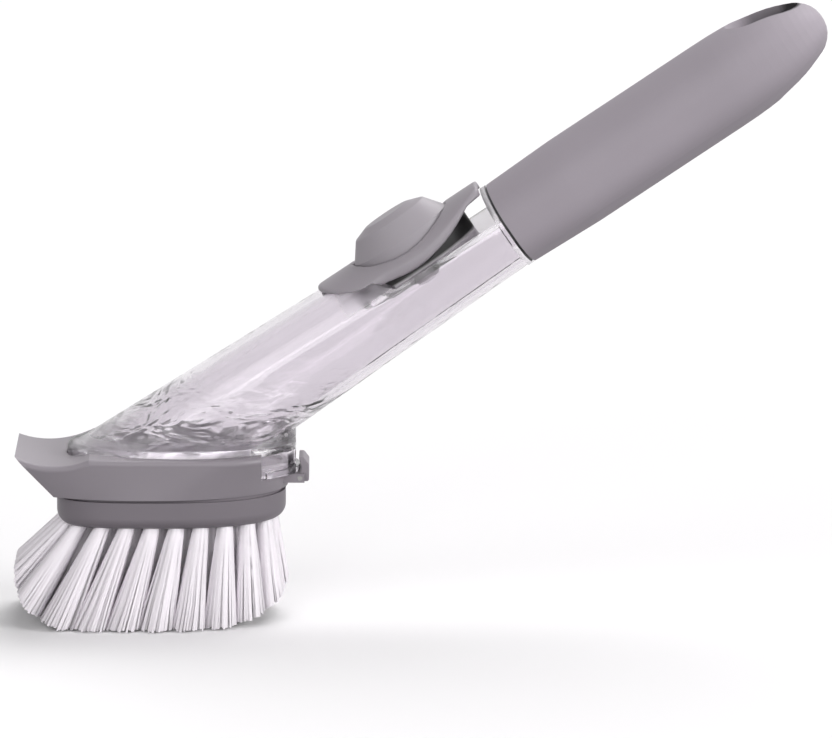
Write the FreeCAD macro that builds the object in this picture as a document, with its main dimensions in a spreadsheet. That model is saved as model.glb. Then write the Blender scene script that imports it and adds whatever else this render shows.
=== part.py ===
import FreeCAD
import Part
import Sketcher
import math
import os
from FreeCAD import Placement, Rotation, Vector

# A soap-dispensing dish wand standing on its bristle tips.
# x runs from the scraper to the grip, y across, z up; the origin is on the tips, under the head.
# "Station" is the distance along the handle's axis, "rise" the distance from that axis on the button's side.

doc = FreeCAD.newDocument("dish_wand")
sheet = doc.addObject("Spreadsheet::Sheet", "Sizes")

driving = [
    ("handle_tilt", 34.0, "rise of the handle's axis from the bristle plane, degrees"),
    ("axis_height", 50.0, "height of the handle's axis over the middle of the head"),
    ("collar_station", 118.2, "station of the collar's face"),
    ("low_station", 20.0, "station where the tube's low depth is measured"),
    ("tube_deep_low", 31.2, "depth of the tube at the low station"),
    ("tube_deep_high", 25.2, "depth of the tube at the collar"),
    ("tube_wide", 33.0, "width of the tube"),
    ("crown_radius", 22.0, "radius of the top and bottom of the oval section"),
    ("corner_radius", 9.0, "radius of the section's corners"),
    ("tube_wall", 2.0, "wall of the clear tube"),
    ("collar_thick", 1.5, "thickness of the collar flange"),
    ("collar_proud", 0.4, "how far the collar stands out of the tube"),
    ("neck_long", 14.0, "length of the filler neck"),
    ("neck_wall", 1.8, "wall of the filler neck"),
    ("gasket_thick", 0.6, "thickness of the black gasket at the collar"),
    ("gasket_inset", 0.6, "how far the gasket's edge lies inside the grip's mouth"),
    ("ledge_rise", 5.0, "rise of the flat ledge under the button"),
    ("ledge_start", 82.0, "station where the ledge starts"),
    ("ledge_ramp", 11.0, "length of the ramp down to the ledge"),
    ("foot_center", 3.0, "middle of the oval foot, along x"),
    ("foot_long", 66.4, "length of the foot"),
    ("foot_bottom", 43.5, "height of the foot's underside"),
    ("foot_top", 52.3, "height of the foot's top"),
    ("foot_wall", 2.2, "wall of the foot"),
    ("foot_round", 1.8, "rounding of the foot's top edge"),
    ("lip_proud", 1.2, "how far the catch lip stands out of the foot"),
    ("lip_high", 1.8, "height of the catch lip"),
    ("boss_radius", 12.5, "radius of the boss that joins the rear of the foot to the tube"),
    ("boss_top", 57.5, "height of that boss, inside the tube"),
    ("plate_thick", 2.2, "thickness of the base plate"),
    ("plate_gasket", 1.0, "height of the base gasket"),
    ("plate_gasket_wide", 1.8, "width of the base gasket"),
    ("nozzle_center", 12.5, "place of the soap nozzle, along x"),
    ("nozzle_radius", 5.0, "outer radius of the nozzle"),
    ("nozzle_bore", 3.8, "bore of the nozzle"),
    ("nozzle_mouth", 2.0, "radius of the nozzle's mouth"),
    ("nozzle_floor", 1.2, "thickness of the rim round the nozzle's mouth"),
    ("valve_flange", 1.0, "thickness of the soap valve's flange"),
    ("valve_bill", 1.4, "radius of the soap valve's bill at its root"),
    ("valve_slit", 0.4, "radius of the opening in the valve's bill"),
    ("retainer_high", 2.2, "height of the ring that holds the soap valve"),
    ("retainer_bore", 2.2, "bore of that ring"),
    ("seal_wide", 1.8, "width of the seal round the nozzle"),
    ("button_station", 90.2, "station of the button's middle"),
    ("button_long", 31.6, "length of the button at its base"),
    ("button_wide", 21.0, "width of the button at its base"),
    ("button_shoulder", 15.0, "rise where the button starts to slope in"),
    ("button_brow", 20.6, "rise of the button's upper edge"),
    ("button_top", 22.2, "rise of the button's top"),
    ("brow_inset", 4.2, "how far the upper edge lies inside the base"),
    ("top_inset", 8.6, "how far the top lies inside the base, along the handle"),
    ("top_inset_side", 6.8, "how far the top lies inside the base, across"),
    ("button_wall", 2.3, "wall of the button's skirt"),
    ("button_roof", 16.5, "rise of the underside of the button's roof"),
    ("press_travel", 4.0, "travel of the button"),
    ("hook_wide", 4.0, "width of the button's retaining hooks"),
    ("hook_high", 1.2, "height of the retaining hooks"),
    ("hook_reach", 0.8, "how far the hooks reach out"),
    ("bezel_crest", 15.8, "rise of the bezel along its middle"),
    ("bezel_radius", 17.0, "radius of the bezel's arch"),
    ("bezel_thick", 2.4, "thickness of the bezel"),
    ("bezel_tip", 61.6, "station of the bezel's round end"),
    ("bezel_shoulder", 66.0, "station where the round end stops"),
    ("bezel_shoulder_wide", 19.2, "width of the bezel there"),
    ("bezel_waist", 26.0, "run from there to the bezel's greatest width"),
    ("bezel_wide", 27.2, "greatest width of the bezel"),
    ("bezel_tail_wide", 11.0, "width of the bezel at the collar"),
    ("bezel_edge", 6.3, "rise of the bezel's lowest edge"),
    ("bezel_corner", 5.0, "radius of the round end's corners"),
    ("bezel_soft", 0.9, "radius along the bezel's outer edge"),
    ("skirt_wall", 1.0, "wall of the bezel's inner skirt"),
    ("skirt_room", 1.2, "room for the hooks inside the skirt"),
    ("pump_gasket_thick", 0.8, "floor of the black tray gasket under the pump"),
    ("tray_wall", 0.8, "wall of the tray gasket round the skirt"),
    ("pump_disc", 1.2, "thickness of the pump base"),
    ("pump_radius", 7.7, "radius of the pump base"),
    ("spigot_radius", 4.9, "radius of the spigot under the pump base"),
    ("spigot_long", 5.3, "length of the spigot"),
    ("air_port", 1.4, "radius of the air port"),
    ("air_cap", 3.6, "radius of the air valve's cap"),
    ("air_cap_thick", 0.9, "thickness of the air valve's cap"),
    ("bellows_radius", 6.5, "outer radius of the rubber bellows"),
    ("bellows_fold", 1.5, "depth of each fold of the bellows"),
    ("bellows_wall", 1.0, "wall of the bellows"),
    ("bellows_folds", 3.0, "number of folds"),
    ("clamp_high", 0.8, "height of the ring that clamps the bellows"),
    ("grip_long", 108.3, "from the collar's face to the end of the grip"),
    ("grip_deep", 27.2, "depth of the grip"),
    ("grip_wide", 34.0, "width of the grip"),
    ("mouth_drop", 0.7, "how much slimmer the grip is at its mouth, each side"),
    ("mouth_run", 22.0, "length over which the grip swells from its mouth"),
    ("nose_long", 36.6, "length of the grip's rounded end"),
    ("nose_power", 2.4, "fullness of the rounded end"),
    ("sleeve_wall", 2.2, "wall of the soft sleeve"),
    ("core_wall", 1.4, "wall of the grip's core"),
    ("core_bulkhead", 2.5, "thickness of the wall that closes the filler neck"),
    ("slot_long", 19.0, "length of the hanging slot"),
    ("slot_wide", 11.0, "width of the hanging slot"),
    ("slot_end_wall", 4.0, "material beyond the hanging slot"),
    ("slot_flare", 2.2, "how much the slot widens at its mouths, each side"),
    ("frame_bottom", 39.1, "height of the head frame's underside"),
    ("frame_top", 50.8, "height of the head frame's rim"),
    ("frame_wide", 45.6, "width of the head frame"),
    ("frame_wall", 2.9, "wall of the head frame beside the foot"),
    ("frame_front", 33.6, "from the middle of the head to the frame's lower front edge"),
    ("frame_front_wide", 36.0, "width of the lower front edge"),
    ("frame_rear_low", 33.8, "from the middle of the head to the frame's lower rear end"),
    ("frame_rear_high", 36.0, "from the middle of the head to the frame's upper rear end"),
    ("rear_sweep_low", 37.8, "length of the lower rear curve"),
    ("rear_sweep_high", 22.0, "length of the upper rear curve"),
    ("blade_front", 45.2, "from the middle of the head to the scraper's edge"),
    ("blade_wide", 34.0, "width of the scraper's edge"),
    ("scoop_center", 34.4, "from the middle of the head to the lowest line of the scooped beak"),
    ("scoop_bottom", 48.3, "height of that line"),
    ("scoop_radius", 26.0, "radius of the scoop"),
    ("rim_round", 1.4, "rounding of the frame's upper edge"),
    ("notch_front", 26.4, "from the middle of the head to the notch in the rear wall"),
    ("latch_wide", 10.0, "width of the latch"),
    ("latch_pivot_x", 37.4, "place of the latch pin, along x"),
    ("latch_pivot_z", 42.1, "height of the latch pin"),
    ("latch_top", 47.9, "height of the latch's top"),
    ("latch_outer", 40.0, "outer face of the thumb tab, along x"),
    ("catch_reach", 0.35, "how far the catch reaches over the lip"),
    ("pin_radius", 0.7, "radius of the latch pin"),
    ("lug_thick", 1.6, "thickness of the lugs that hold the pin"),
    ("hub_wall", 0.6, "wall round the latch pin"),
    ("block_bottom", 30.0, "height of the brush block's underside"),
    ("block_long", 66.4, "length of the brush block"),
    ("block_wide", 44.0, "width of the brush block"),
    ("block_round", 3.4, "rounding of the block's lower edge"),
    ("groove_high", 0.9, "height of the groove between the block and the frame"),
    ("groove_deep", 1.0, "depth of that groove"),
    ("block_front_power", 4.0, "fullness of the block's front"),
    ("block_rear_power", 2.2, "fullness of the block's rear"),
    ("soap_hole", 3.2, "radius of the soap outlet in the block"),
    ("tuft_radius", 1.9, "radius of a tuft at its root"),
    ("tuft_tip", 3.0, "radius of a tuft at its tip"),
    ("tuft_spare", 0.8, "length of the tufts beyond the trimming plane"),
    ("tuft_depth", 6.0, "depth of the tuft holes"),
    ("tuft_pitch", 6.9, "distance between tufts along a ring"),
    ("outer_inset", 4.7, "outer ring of tufts, from the block's edge"),
    ("middle_inset", 12.6, "middle ring of tufts, from the block's edge"),
    ("center_first", 4.2, "first tuft of the middle row, along x"),
    ("center_pitch", 7.4, "distance between tufts of the middle row"),
    ("center_count", 3.0, "number of tufts of the middle row"),
    ("lean_rate", 0.6, "lean of the tufts along x, degrees per millimetre"),
    ("lean_zero", 21.0, "place along x where the tufts stand upright"),
    ("side_lean_rate", 0.52, "lean of the tufts across, degrees per millimetre"),
    ("staple_radius", 0.45, "radius of the wire that anchors a tuft"),
    ("slip_gap", 0.3, "gap between pieces that slide past each other"),
    ("seat_gap", 0.05, "gap between pieces that are fitted together"),
    ("face_gap", 0.1, "gap between flat faces of pieces that come apart"),
]
for row, (alias, number, meaning) in enumerate(driving, start=1):
    sheet.set(f"A{row}", meaning)
    sheet.set(f"B{row}", str(number))
    sheet.setAlias(f"B{row}", alias)
doc.recompute()


# A number that remembers the sheet expression it came from, so that it can be both used and bound.
class Measure(float):
    def __new__(cls, number, text):
        made = super().__new__(cls, number)
        made.text = text
        return made

    def __add__(self, other):
        return Measure(float(self) + float(other), f"({self.text} + {spell(other)})")

    def __radd__(self, other):
        return Measure(float(other) + float(self), f"({spell(other)} + {self.text})")

    def __sub__(self, other):
        return Measure(float(self) - float(other), f"({self.text} - {spell(other)})")

    def __rsub__(self, other):
        return Measure(float(other) - float(self), f"({spell(other)} - {self.text})")

    def __mul__(self, other):
        return Measure(float(self) * float(other), f"({self.text} * {spell(other)})")

    def __rmul__(self, other):
        return Measure(float(other) * float(self), f"({spell(other)} * {self.text})")

    def __truediv__(self, other):
        return Measure(float(self) / float(other), f"({self.text} / {spell(other)})")

    def __neg__(self):
        return Measure(-float(self), f"(-1 * {self.text})")


def spell(number):
    return getattr(number, "text", repr(float(number)))


def size(alias):
    return Measure(float(sheet.get(alias)), f"Sizes.{alias}")


def bind(piece, **sizes):
    for name, number in sizes.items():
        setattr(piece, name, float(number))
        if isinstance(number, Measure):
            piece.setExpression(name, number.text)


# Makers of the features that the pieces are built from

def feature(name, shape):
    piece = doc.addObject("Part::Feature", name)
    piece.Shape = shape
    return piece


def cylinder(name, radius, height, base, turn=Rotation()):
    piece = doc.addObject("Part::Cylinder", name)
    bind(piece, Radius=radius, Height=height)
    piece.Placement = Placement(Vector(*base), turn)
    return piece


def box(name, low, high):
    piece = doc.addObject("Part::Box", name)
    bind(piece, Length=high[0] - low[0], Width=high[1] - low[1], Height=high[2] - low[2])
    piece.Placement = Placement(Vector(*low), Rotation())
    return piece


def elliptic(name, half_long, half_wide, height, base):
    rim = doc.addObject("Part::Ellipse", name + "_rim")
    bind(rim, MajorRadius=half_long, MinorRadius=half_wide)
    rim.Placement = Placement(Vector(*base), Rotation())
    piece = doc.addObject("Part::Extrusion", name)
    piece.Base = rim
    piece.DirMode = "Normal"
    piece.Solid = True
    bind(piece, LengthFwd=height)
    return piece


def fuse(name, *pieces):
    piece = doc.addObject("Part::MultiFuse", name)
    piece.Shapes = list(pieces)
    return piece


def cut(name, base, tool):
    piece = doc.addObject("Part::Cut", name)
    piece.Base = base
    piece.Tool = tool
    return piece


def common(name, base, tool):
    piece = doc.addObject("Part::Common", name)
    piece.Base = base
    piece.Tool = tool
    return piece


def rounded(name, base, radius, edge_wanted):
    piece = doc.addObject("Part::Fillet", name)
    piece.Base = base
    doc.recompute()
    chosen = [i for i, edge in enumerate(base.Shape.Edges, start=1) if edge_wanted(edge)]
    piece.Edges = [(i, float(radius), float(radius)) for i in chosen]
    return piece


def at_height(height):
    def wanted(edge):
        limits = edge.BoundBox
        return abs(limits.ZMin - height) < 1e-4 and abs(limits.ZMax - height) < 1e-4
    return wanted


# A body whose sketch is a closed outline of corner points, each bound to the sheet
def sketch_body(name, plane, points):
    body = doc.addObject("PartDesign::Body", name)
    sketch = body.newObject("Sketcher::SketchObject", name + "_outline")
    support = [part for part in body.Origin.OriginFeatures if part.Role == plane][0]
    sketch.AttachmentSupport = [(support, "")]
    sketch.MapMode = "FlatFace"
    count = len(points)
    for i, start in enumerate(points):
        end = points[(i + 1) % count]
        sketch.addGeometry(Part.LineSegment(Vector(*start, 0), Vector(*end, 0)))
    for i in range(count):
        sketch.addConstraint(Sketcher.Constraint("Coincident", i, 2, (i + 1) % count, 1))
    for i, point in enumerate(points):
        for kind, number, axis in (("DistanceX", point[0], -2), ("DistanceY", point[1], -1)):
            if abs(number) < 1e-9:
                sketch.addConstraint(Sketcher.Constraint("PointOnObject", i, 1, axis))
                continue
            index = sketch.addConstraint(Sketcher.Constraint(kind, -1, 1, i, 1, float(number)))
            if isinstance(number, Measure):
                sketch.setExpression(f"Constraints[{index}]", number.text)
    return body, sketch


def turned(name, points, place):
    body, sketch = sketch_body(name, "XZ_Plane", points)
    turn = body.newObject("PartDesign::Revolution", name + "_turn")
    turn.Profile = sketch
    turn.ReferenceAxis = (sketch, ["V_Axis"])
    turn.Angle = 360
    body.Placement = place
    return body


nodes = {}


def node(name, piece):
    piece.Label = name
    nodes[name] = piece


# The handle's frame: its x axis runs along the handle and its z axis towards the button
handle = Placement(Vector(0, 0, size("axis_height")), Rotation(Vector(0, -1, 0), size("handle_tilt")))


def handle_node(name, piece):
    piece.Placement = handle
    piece.setExpression("Placement.Base.z", "Sizes.axis_height")
    piece.setExpression("Placement.Rotation.Angle", "Sizes.handle_tilt")
    node(name, piece)


# Middle of the arc that starts along x at the wide point and bends in to the narrow one, as (x, half width)
def bow_middle(wide, narrow):
    run = abs(narrow[0] - wide[0])
    draw_in = wide[1] - narrow[1]
    radius = (run ** 2 + draw_in ** 2) / (2 * draw_in)
    half_angle = math.asin(run / radius) / 2
    way = math.copysign(1, narrow[0] - wide[0])
    return wide[0] + way * radius * math.sin(half_angle), wide[1] - radius * (1 - math.cos(half_angle))


# Crowned oval across the handle: two crowns, four corner arcs and two flat sides, all tangent
def oval(station, half_wide, half_deep, inset=0.0, shrink=1.0):
    wide = (half_wide - inset) * shrink
    deep = (half_deep - inset) * shrink
    crown = (size("crown_radius") - inset) * shrink
    corner = (size("corner_radius") - inset) * shrink
    reach = wide - corner
    drop = math.sqrt((crown - corner) ** 2 - reach ** 2)
    lift = deep - crown + drop
    lean = math.atan2(reach, drop)
    middle = (lean + math.pi / 2) / 2

    def spot(side, half, y, rise):
        return Vector(station, side * y, half * rise)

    def crown_end(side, half):
        return spot(side, half, crown * math.sin(lean), deep - crown + crown * math.cos(lean))

    def corner_middle(side, half):
        return spot(side, half, reach + corner * math.sin(middle), lift + corner * math.cos(middle))

    def corner_end(side, half):
        return spot(side, half, wide, lift)

    edges = []
    for side, half in ((1, 1), (-1, -1)):
        edges += [
            Part.Arc(crown_end(-side, half), spot(0, half, 0, deep), crown_end(side, half)).toShape(),
            Part.Arc(crown_end(side, half), corner_middle(side, half), corner_end(side, half)).toShape(),
            Part.LineSegment(corner_end(side, half), corner_end(side, -half)).toShape(),
            Part.Arc(corner_end(side, -half), corner_middle(side, -half), crown_end(side, -half)).toShape(),
        ]
    return Part.Wire(edges)


def oval_bar(start, end, half_wide, half_deep, inset):
    return Part.Face(oval(start, half_wide, half_deep, inset)).extrude(Vector(end - start, 0, 0))


# The clear tube

collar = size("collar_station")
collar_back = collar - size("collar_thick")
tube_half_wide = size("tube_wide") / 2
tilt = math.radians(size("handle_tilt"))


def tube_half_deep(station):
    share = (collar - station) / (collar - size("low_station"))
    return size("tube_deep_high") / 2 + (size("tube_deep_low") - size("tube_deep_high")) / 2 * share


# Station low enough for the whole section to lie under the foot
tube_start = -(size("axis_height") - size("foot_bottom") + size("tube_deep_low")) / math.sin(tilt)


def tube_loft(end, inset):
    sections = []
    for station in (tube_start, end):
        sections.append(oval(station, tube_half_wide, tube_half_deep(station), inset))
    return Part.makeLoft(sections, True, True)


ledge = size("ledge_rise")
ledge_start = size("ledge_start")
ramp_top = size("tube_deep_low") / 2


# Side profile of the space over the ledge, cut right across the tube; spare is added all round below it
def ledge_space(end, spare):
    corners = [
        Vector(ledge_start - size("ledge_ramp") - 2 * spare, 0, ramp_top),
        Vector(ledge_start - spare, 0, ledge - spare),
        Vector(end, 0, ledge - spare),
        Vector(end, 0, ramp_top),
    ]
    face = Part.Face(Part.makePolygon(corners + corners[:1]))
    face.translate(Vector(0, -size("tube_wide"), 0))
    return face.extrude(Vector(0, 2 * size("tube_wide"), 0))


button = size("button_station")
button_half_long = size("button_long") / 2
button_half_wide = size("button_wide") / 2
opening_half_long = button_half_long + size("slip_gap")
opening_half_wide = button_half_wide + size("slip_gap")
skirt_half_long = opening_half_long + size("skirt_room")
skirt_half_wide = opening_half_wide + size("slip_gap")
tray_half_long = skirt_half_long + size("skirt_wall") + size("seat_gap") + size("tray_wall")
tray_half_wide = skirt_half_wide + size("skirt_wall") + size("seat_gap") + size("tray_wall")
pocket_half_long = tray_half_long + size("seat_gap")
pocket_half_wide = tray_half_wide + size("seat_gap")
pump_floor = ledge + size("pump_gasket_thick")


# Oval space in the tube's back for the button and the bezel's skirt; spare is added all round and below it
def button_space(spare):
    rim = Part.Ellipse(Vector(0, 0, 0), pocket_half_long + spare, pocket_half_wide + spare).toShape()
    rim.translate(Vector(button, 0, ledge - spare))
    return Part.Face(Part.Wire([rim])).extrude(Vector(0, 0, ramp_top))


tube_outer = tube_loft(collar_back, 0).cut([ledge_space(collar_back, 0), button_space(0)])
tube_local = feature("tube_local", tube_outer)
tube_placed = feature("tube_placed", tube_outer)
tube_placed.Placement = handle
everything = 4 * collar
above_foot = box(
    "above_foot",
    (-everything, -everything, size("foot_top") - size("foot_round") / 2),
    (everything, everything, everything),
)
tube_upper = common("tube_upper", tube_placed, above_foot)

foot_half_long = size("foot_long") / 2
frame_half_wide = size("frame_wide") / 2
foot_half_wide = frame_half_wide - size("frame_wall") - size("slip_gap")
foot_high = size("foot_top") - size("foot_bottom")
foot_base = (size("foot_center"), 0, size("foot_bottom"))
foot_disc = elliptic("foot_disc", foot_half_long, foot_half_wide, foot_high, foot_base)
foot = rounded("foot", foot_disc, size("foot_round"), at_height(size("foot_top")))
lip_ring = elliptic(
    "lip_ring",
    foot_half_long + size("lip_proud"),
    foot_half_wide + size("lip_proud"),
    size("lip_high"),
    foot_base,
)
behind_notch = box(
    "behind_notch",
    (size("notch_front") + size("lip_proud"), -everything, 0),
    (everything, everything, everything),
)
lip = common("lip", lip_ring, behind_notch)

collar_ring = feature(
    "collar_ring",
    oval_bar(collar_back, collar, tube_half_wide, tube_half_deep(collar), -size("collar_proud")),
)
collar_ring.Placement = handle
mouth_half_wide = size("grip_wide") / 2 - size("mouth_drop")
mouth_half_deep = size("grip_deep") / 2 - size("mouth_drop")
socket_inset = size("sleeve_wall") + size("seat_gap") + size("core_wall")
neck_inset = socket_inset + size("slip_gap")
neck_end = collar + size("neck_long")
neck_bar = feature("neck_bar", oval_bar(collar, neck_end, mouth_half_wide, mouth_half_deep, neck_inset))
neck_bar.Placement = handle
rear_boss = cylinder(
    "rear_boss",
    size("boss_radius"),
    size("boss_top") - size("foot_bottom"),
    (size("foot_center") + foot_half_long - size("boss_radius"), 0, size("foot_bottom")),
)
tube_outside = fuse("tube_outside", tube_upper, foot, lip, rear_boss, collar_ring, neck_bar)

cavity_wall = size("tube_wall")
ledge_wall = ledge_space(collar, cavity_wall)
cavity_shape = tube_loft(collar_back, cavity_wall).cut([ledge_wall, button_space(cavity_wall)])
cavity_loft = feature("cavity_loft", cavity_shape)
cavity_loft.Placement = handle
foot_roof = size("foot_top") - size("foot_wall")
above_roof = box(
    "above_roof",
    (-everything, -everything, foot_roof - size("foot_round") / 2),
    (everything, everything, everything),
)
tube_cavity = common("tube_cavity", cavity_loft, above_roof)
foot_cavity = elliptic(
    "foot_cavity",
    foot_half_long - size("foot_wall"),
    foot_half_wide - size("foot_wall"),
    foot_roof - size("foot_bottom"),
    foot_base,
)
neck_bore_inset = neck_inset + size("neck_wall")
neck_bar_space = oval_bar(collar, neck_end, mouth_half_wide, mouth_half_deep, neck_bore_inset)
collar_pass = oval_bar(
    collar_back - size("collar_thick"), collar, mouth_half_wide, mouth_half_deep, neck_bore_inset
).cut(ledge_wall)
neck_bore = feature("neck_bore", neck_bar_space.fuse(collar_pass))
neck_bore.Placement = handle
pump_hole = feature(
    "pump_hole",
    Part.makeCylinder(
        size("spigot_radius") + size("seat_gap"),
        size("tube_wall") * 2,
        Vector(size("button_station"), 0, ledge - size("tube_wall") * 1.5),
    ),
)
pump_hole.Placement = handle
tube_inside = fuse("tube_inside", tube_cavity, foot_cavity, neck_bore, pump_hole)
node("reservoir_tube", cut("reservoir_tube", tube_outside, tube_inside))

seal_end = collar + size("gasket_thick")
seal_disc = oval_bar(collar, seal_end, mouth_half_wide, mouth_half_deep, size("gasket_inset"))
seal_opening = oval_bar(collar, seal_end, mouth_half_wide, mouth_half_deep, neck_inset - size("seat_gap"))
handle_node("neck_seal", feature("neck_seal", seal_disc.cut(seal_opening)))

# The base of the foot: plate with its nozzle, gasket, soap valve and the ring that holds the valve

nozzle_place = (size("nozzle_center"), 0)
plate_top = size("foot_bottom") + size("plate_thick")
nozzle_bottom = size("frame_bottom") + size("face_gap")
plate_disc = elliptic(
    "plate_disc",
    foot_half_long - size("foot_wall") - size("seat_gap"),
    foot_half_wide - size("foot_wall") - size("seat_gap"),
    size("plate_thick"),
    foot_base,
)
nozzle_stem = cylinder(
    "nozzle_stem", size("nozzle_radius"), plate_top - nozzle_bottom, (*nozzle_place, nozzle_bottom)
)
plate_solid = fuse("plate_solid", plate_disc, nozzle_stem)
nozzle_hole = cylinder(
    "nozzle_hole",
    size("nozzle_bore"),
    size("foot_top"),
    (*nozzle_place, nozzle_bottom + size("nozzle_floor")),
)
nozzle_mouth = cylinder("nozzle_mouth", size("nozzle_mouth"), size("foot_top"), (*nozzle_place, 0))
node("base_plate", cut("base_plate", plate_solid, fuse("nozzle_inside", nozzle_hole, nozzle_mouth)))

gasket_outer = elliptic(
    "gasket_outer",
    foot_half_long - size("foot_wall") - size("seat_gap"),
    foot_half_wide - size("foot_wall") - size("seat_gap"),
    size("plate_gasket"),
    (size("foot_center"), 0, plate_top),
)
gasket_inner = elliptic(
    "gasket_inner",
    foot_half_long - size("foot_wall") - size("seat_gap") - size("plate_gasket_wide"),
    foot_half_wide - size("foot_wall") - size("seat_gap") - size("plate_gasket_wide"),
    size("plate_gasket"),
    (size("foot_center"), 0, plate_top),
)
node("base_gasket", cut("base_gasket", gasket_outer, gasket_inner))

valve_radius = size("nozzle_bore") - size("seat_gap")
valve_drop = size("nozzle_floor")
outlet_valve = turned(
    "outlet_valve",
    [
        (size("valve_slit"), -valve_drop),
        (size("valve_slit") * 2, -valve_drop),
        (size("valve_bill"), 0),
        (valve_radius, 0),
        (valve_radius, size("valve_flange")),
        (size("valve_bill"), size("valve_flange")),
        (size("valve_slit"), 0),
    ],
    Placement(Vector(*nozzle_place, nozzle_bottom + size("nozzle_floor")), Rotation()),
)
node("outlet_valve", outlet_valve)

valve_retainer = turned(
    "valve_retainer",
    [
        (size("retainer_bore"), 0),
        (valve_radius, 0),
        (valve_radius, size("retainer_high")),
        (size("retainer_bore"), size("retainer_high")),
    ],
    Placement(Vector(*nozzle_place, nozzle_bottom + size("nozzle_floor") + size("valve_flange")), Rotation()),
)
node("valve_retainer", valve_retainer)

# The button with its bezel and its air pump

arch_center = size("bezel_crest") - size("bezel_radius")
along_handle = Rotation(Vector(0, 1, 0), 90)


# Plan of the bezel: a round end, sides that bow out to the waist, and a narrow tail at the collar
def leaf_outline():
    tip = (size("bezel_tip"), 0)
    shoulder = (size("bezel_shoulder"), size("bezel_shoulder_wide") / 2)
    waist = (size("bezel_shoulder") + size("bezel_waist"), size("bezel_wide") / 2)
    tail = (collar_back, size("bezel_tail_wide") / 2)
    front_bow = bow_middle(waist, shoulder)
    rear_bow = bow_middle(waist, tail)

    def spot(point, side):
        return Vector(point[0], side * point[1], 0)

    edges = [
        Part.Arc(spot(shoulder, -1), spot(tip, 1), spot(shoulder, 1)).toShape(),
        Part.Arc(spot(shoulder, 1), spot(front_bow, 1), spot(waist, 1)).toShape(),
        Part.Arc(spot(waist, 1), spot(rear_bow, 1), spot(tail, 1)).toShape(),
        Part.LineSegment(spot(tail, 1), spot(tail, -1)).toShape(),
        Part.Arc(spot(tail, -1), spot(rear_bow, -1), spot(waist, -1)).toShape(),
        Part.Arc(spot(waist, -1), spot(front_bow, -1), spot(shoulder, -1)).toShape(),
    ]
    return Part.Wire(edges)


leaf_face = Part.Face(leaf_outline())
leaf_face.translate(Vector(0, 0, size("bezel_edge")))
leaf_sharp = feature("leaf_sharp", leaf_face.extrude(Vector(0, 0, size("bezel_radius"))))


def shoulder_corners(edge):
    limits = edge.BoundBox
    upright = limits.ZLength > size("bezel_thick") and limits.XLength < 1e-4
    return upright and abs(limits.XMin - size("bezel_shoulder")) < 1e-3


leaf = rounded("leaf", leaf_sharp, size("bezel_corner"), shoulder_corners)
arch_outer = cylinder("arch_outer", size("bezel_radius"), 2 * collar, (0, 0, arch_center), along_handle)
arch_inner = cylinder(
    "arch_inner", size("bezel_radius") - size("bezel_thick"), 2 * collar, (0, 0, arch_center), along_handle
)
bezel_sharp = common("bezel_sharp", leaf, arch_outer)


def outer_edges(edge):
    middle = edge.valueAt((edge.FirstParameter + edge.LastParameter) / 2)
    on_arch = abs(math.hypot(middle.y, middle.z - arch_center) - size("bezel_radius")) < 1e-3
    return on_arch and middle.x < collar_back - 1e-3


bezel_leaf = rounded("bezel_leaf", bezel_sharp, size("bezel_soft"), outer_edges)
bezel_shell = cut("bezel_shell", bezel_leaf, arch_inner)
skirt_outer = elliptic(
    "skirt_outer",
    skirt_half_long + size("skirt_wall"),
    skirt_half_wide + size("skirt_wall"),
    size("bezel_crest"),
    (button, 0, pump_floor),
)
skirt_inner = elliptic(
    "skirt_inner", skirt_half_long, skirt_half_wide, size("bezel_crest"), (button, 0, pump_floor)
)
skirt_radius = size("bezel_radius") - size("bezel_thick") / 2
arch_skirt = cylinder("arch_skirt", skirt_radius, 2 * collar, (0, 0, arch_center), along_handle)
bezel_skirt = common("bezel_skirt", cut("skirt_ring", skirt_outer, skirt_inner), arch_skirt)
bezel_whole = fuse("bezel_whole", bezel_shell, bezel_skirt)
button_opening = elliptic(
    "button_opening", opening_half_long, opening_half_wide, 2 * size("bezel_crest"), (button, 0, ledge)
)
bezel_open = cut("bezel_open", bezel_whole, fuse("bezel_tools", button_opening, tube_local))
handle_node("button_bezel", bezel_open)


# Ruled steps from one ellipse to the next, each given as half length, half width and rise
def stepped(name, steps):
    rims = []
    for half_long, half_wide, rise in steps:
        rim = Part.Ellipse(Vector(0, 0, 0), float(half_long), float(half_wide)).toShape()
        rim.translate(Vector(button, 0, rise))
        rims.append(Part.Wire([rim]))
    return feature(name, Part.makeLoft(rims, True, True))


skirt_bottom = pump_floor + size("press_travel") + size("slip_gap")
button_blank = stepped(
    "button_blank",
    [
        (button_half_long, button_half_wide, skirt_bottom),
        (button_half_long, button_half_wide, size("button_shoulder")),
        (button_half_long - size("brow_inset"), button_half_wide - size("brow_inset"), size("button_brow")),
        (button_half_long - size("top_inset"), button_half_wide - size("top_inset_side"), size("button_top")),
    ],
)
brow_round = (size("button_top") - size("button_brow")) * 0.7


def button_edges(edge):
    limits = edge.BoundBox
    flat = limits.ZMax - limits.ZMin < 1e-4
    return flat and limits.ZMin > size("button_shoulder") + 1e-3


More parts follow.
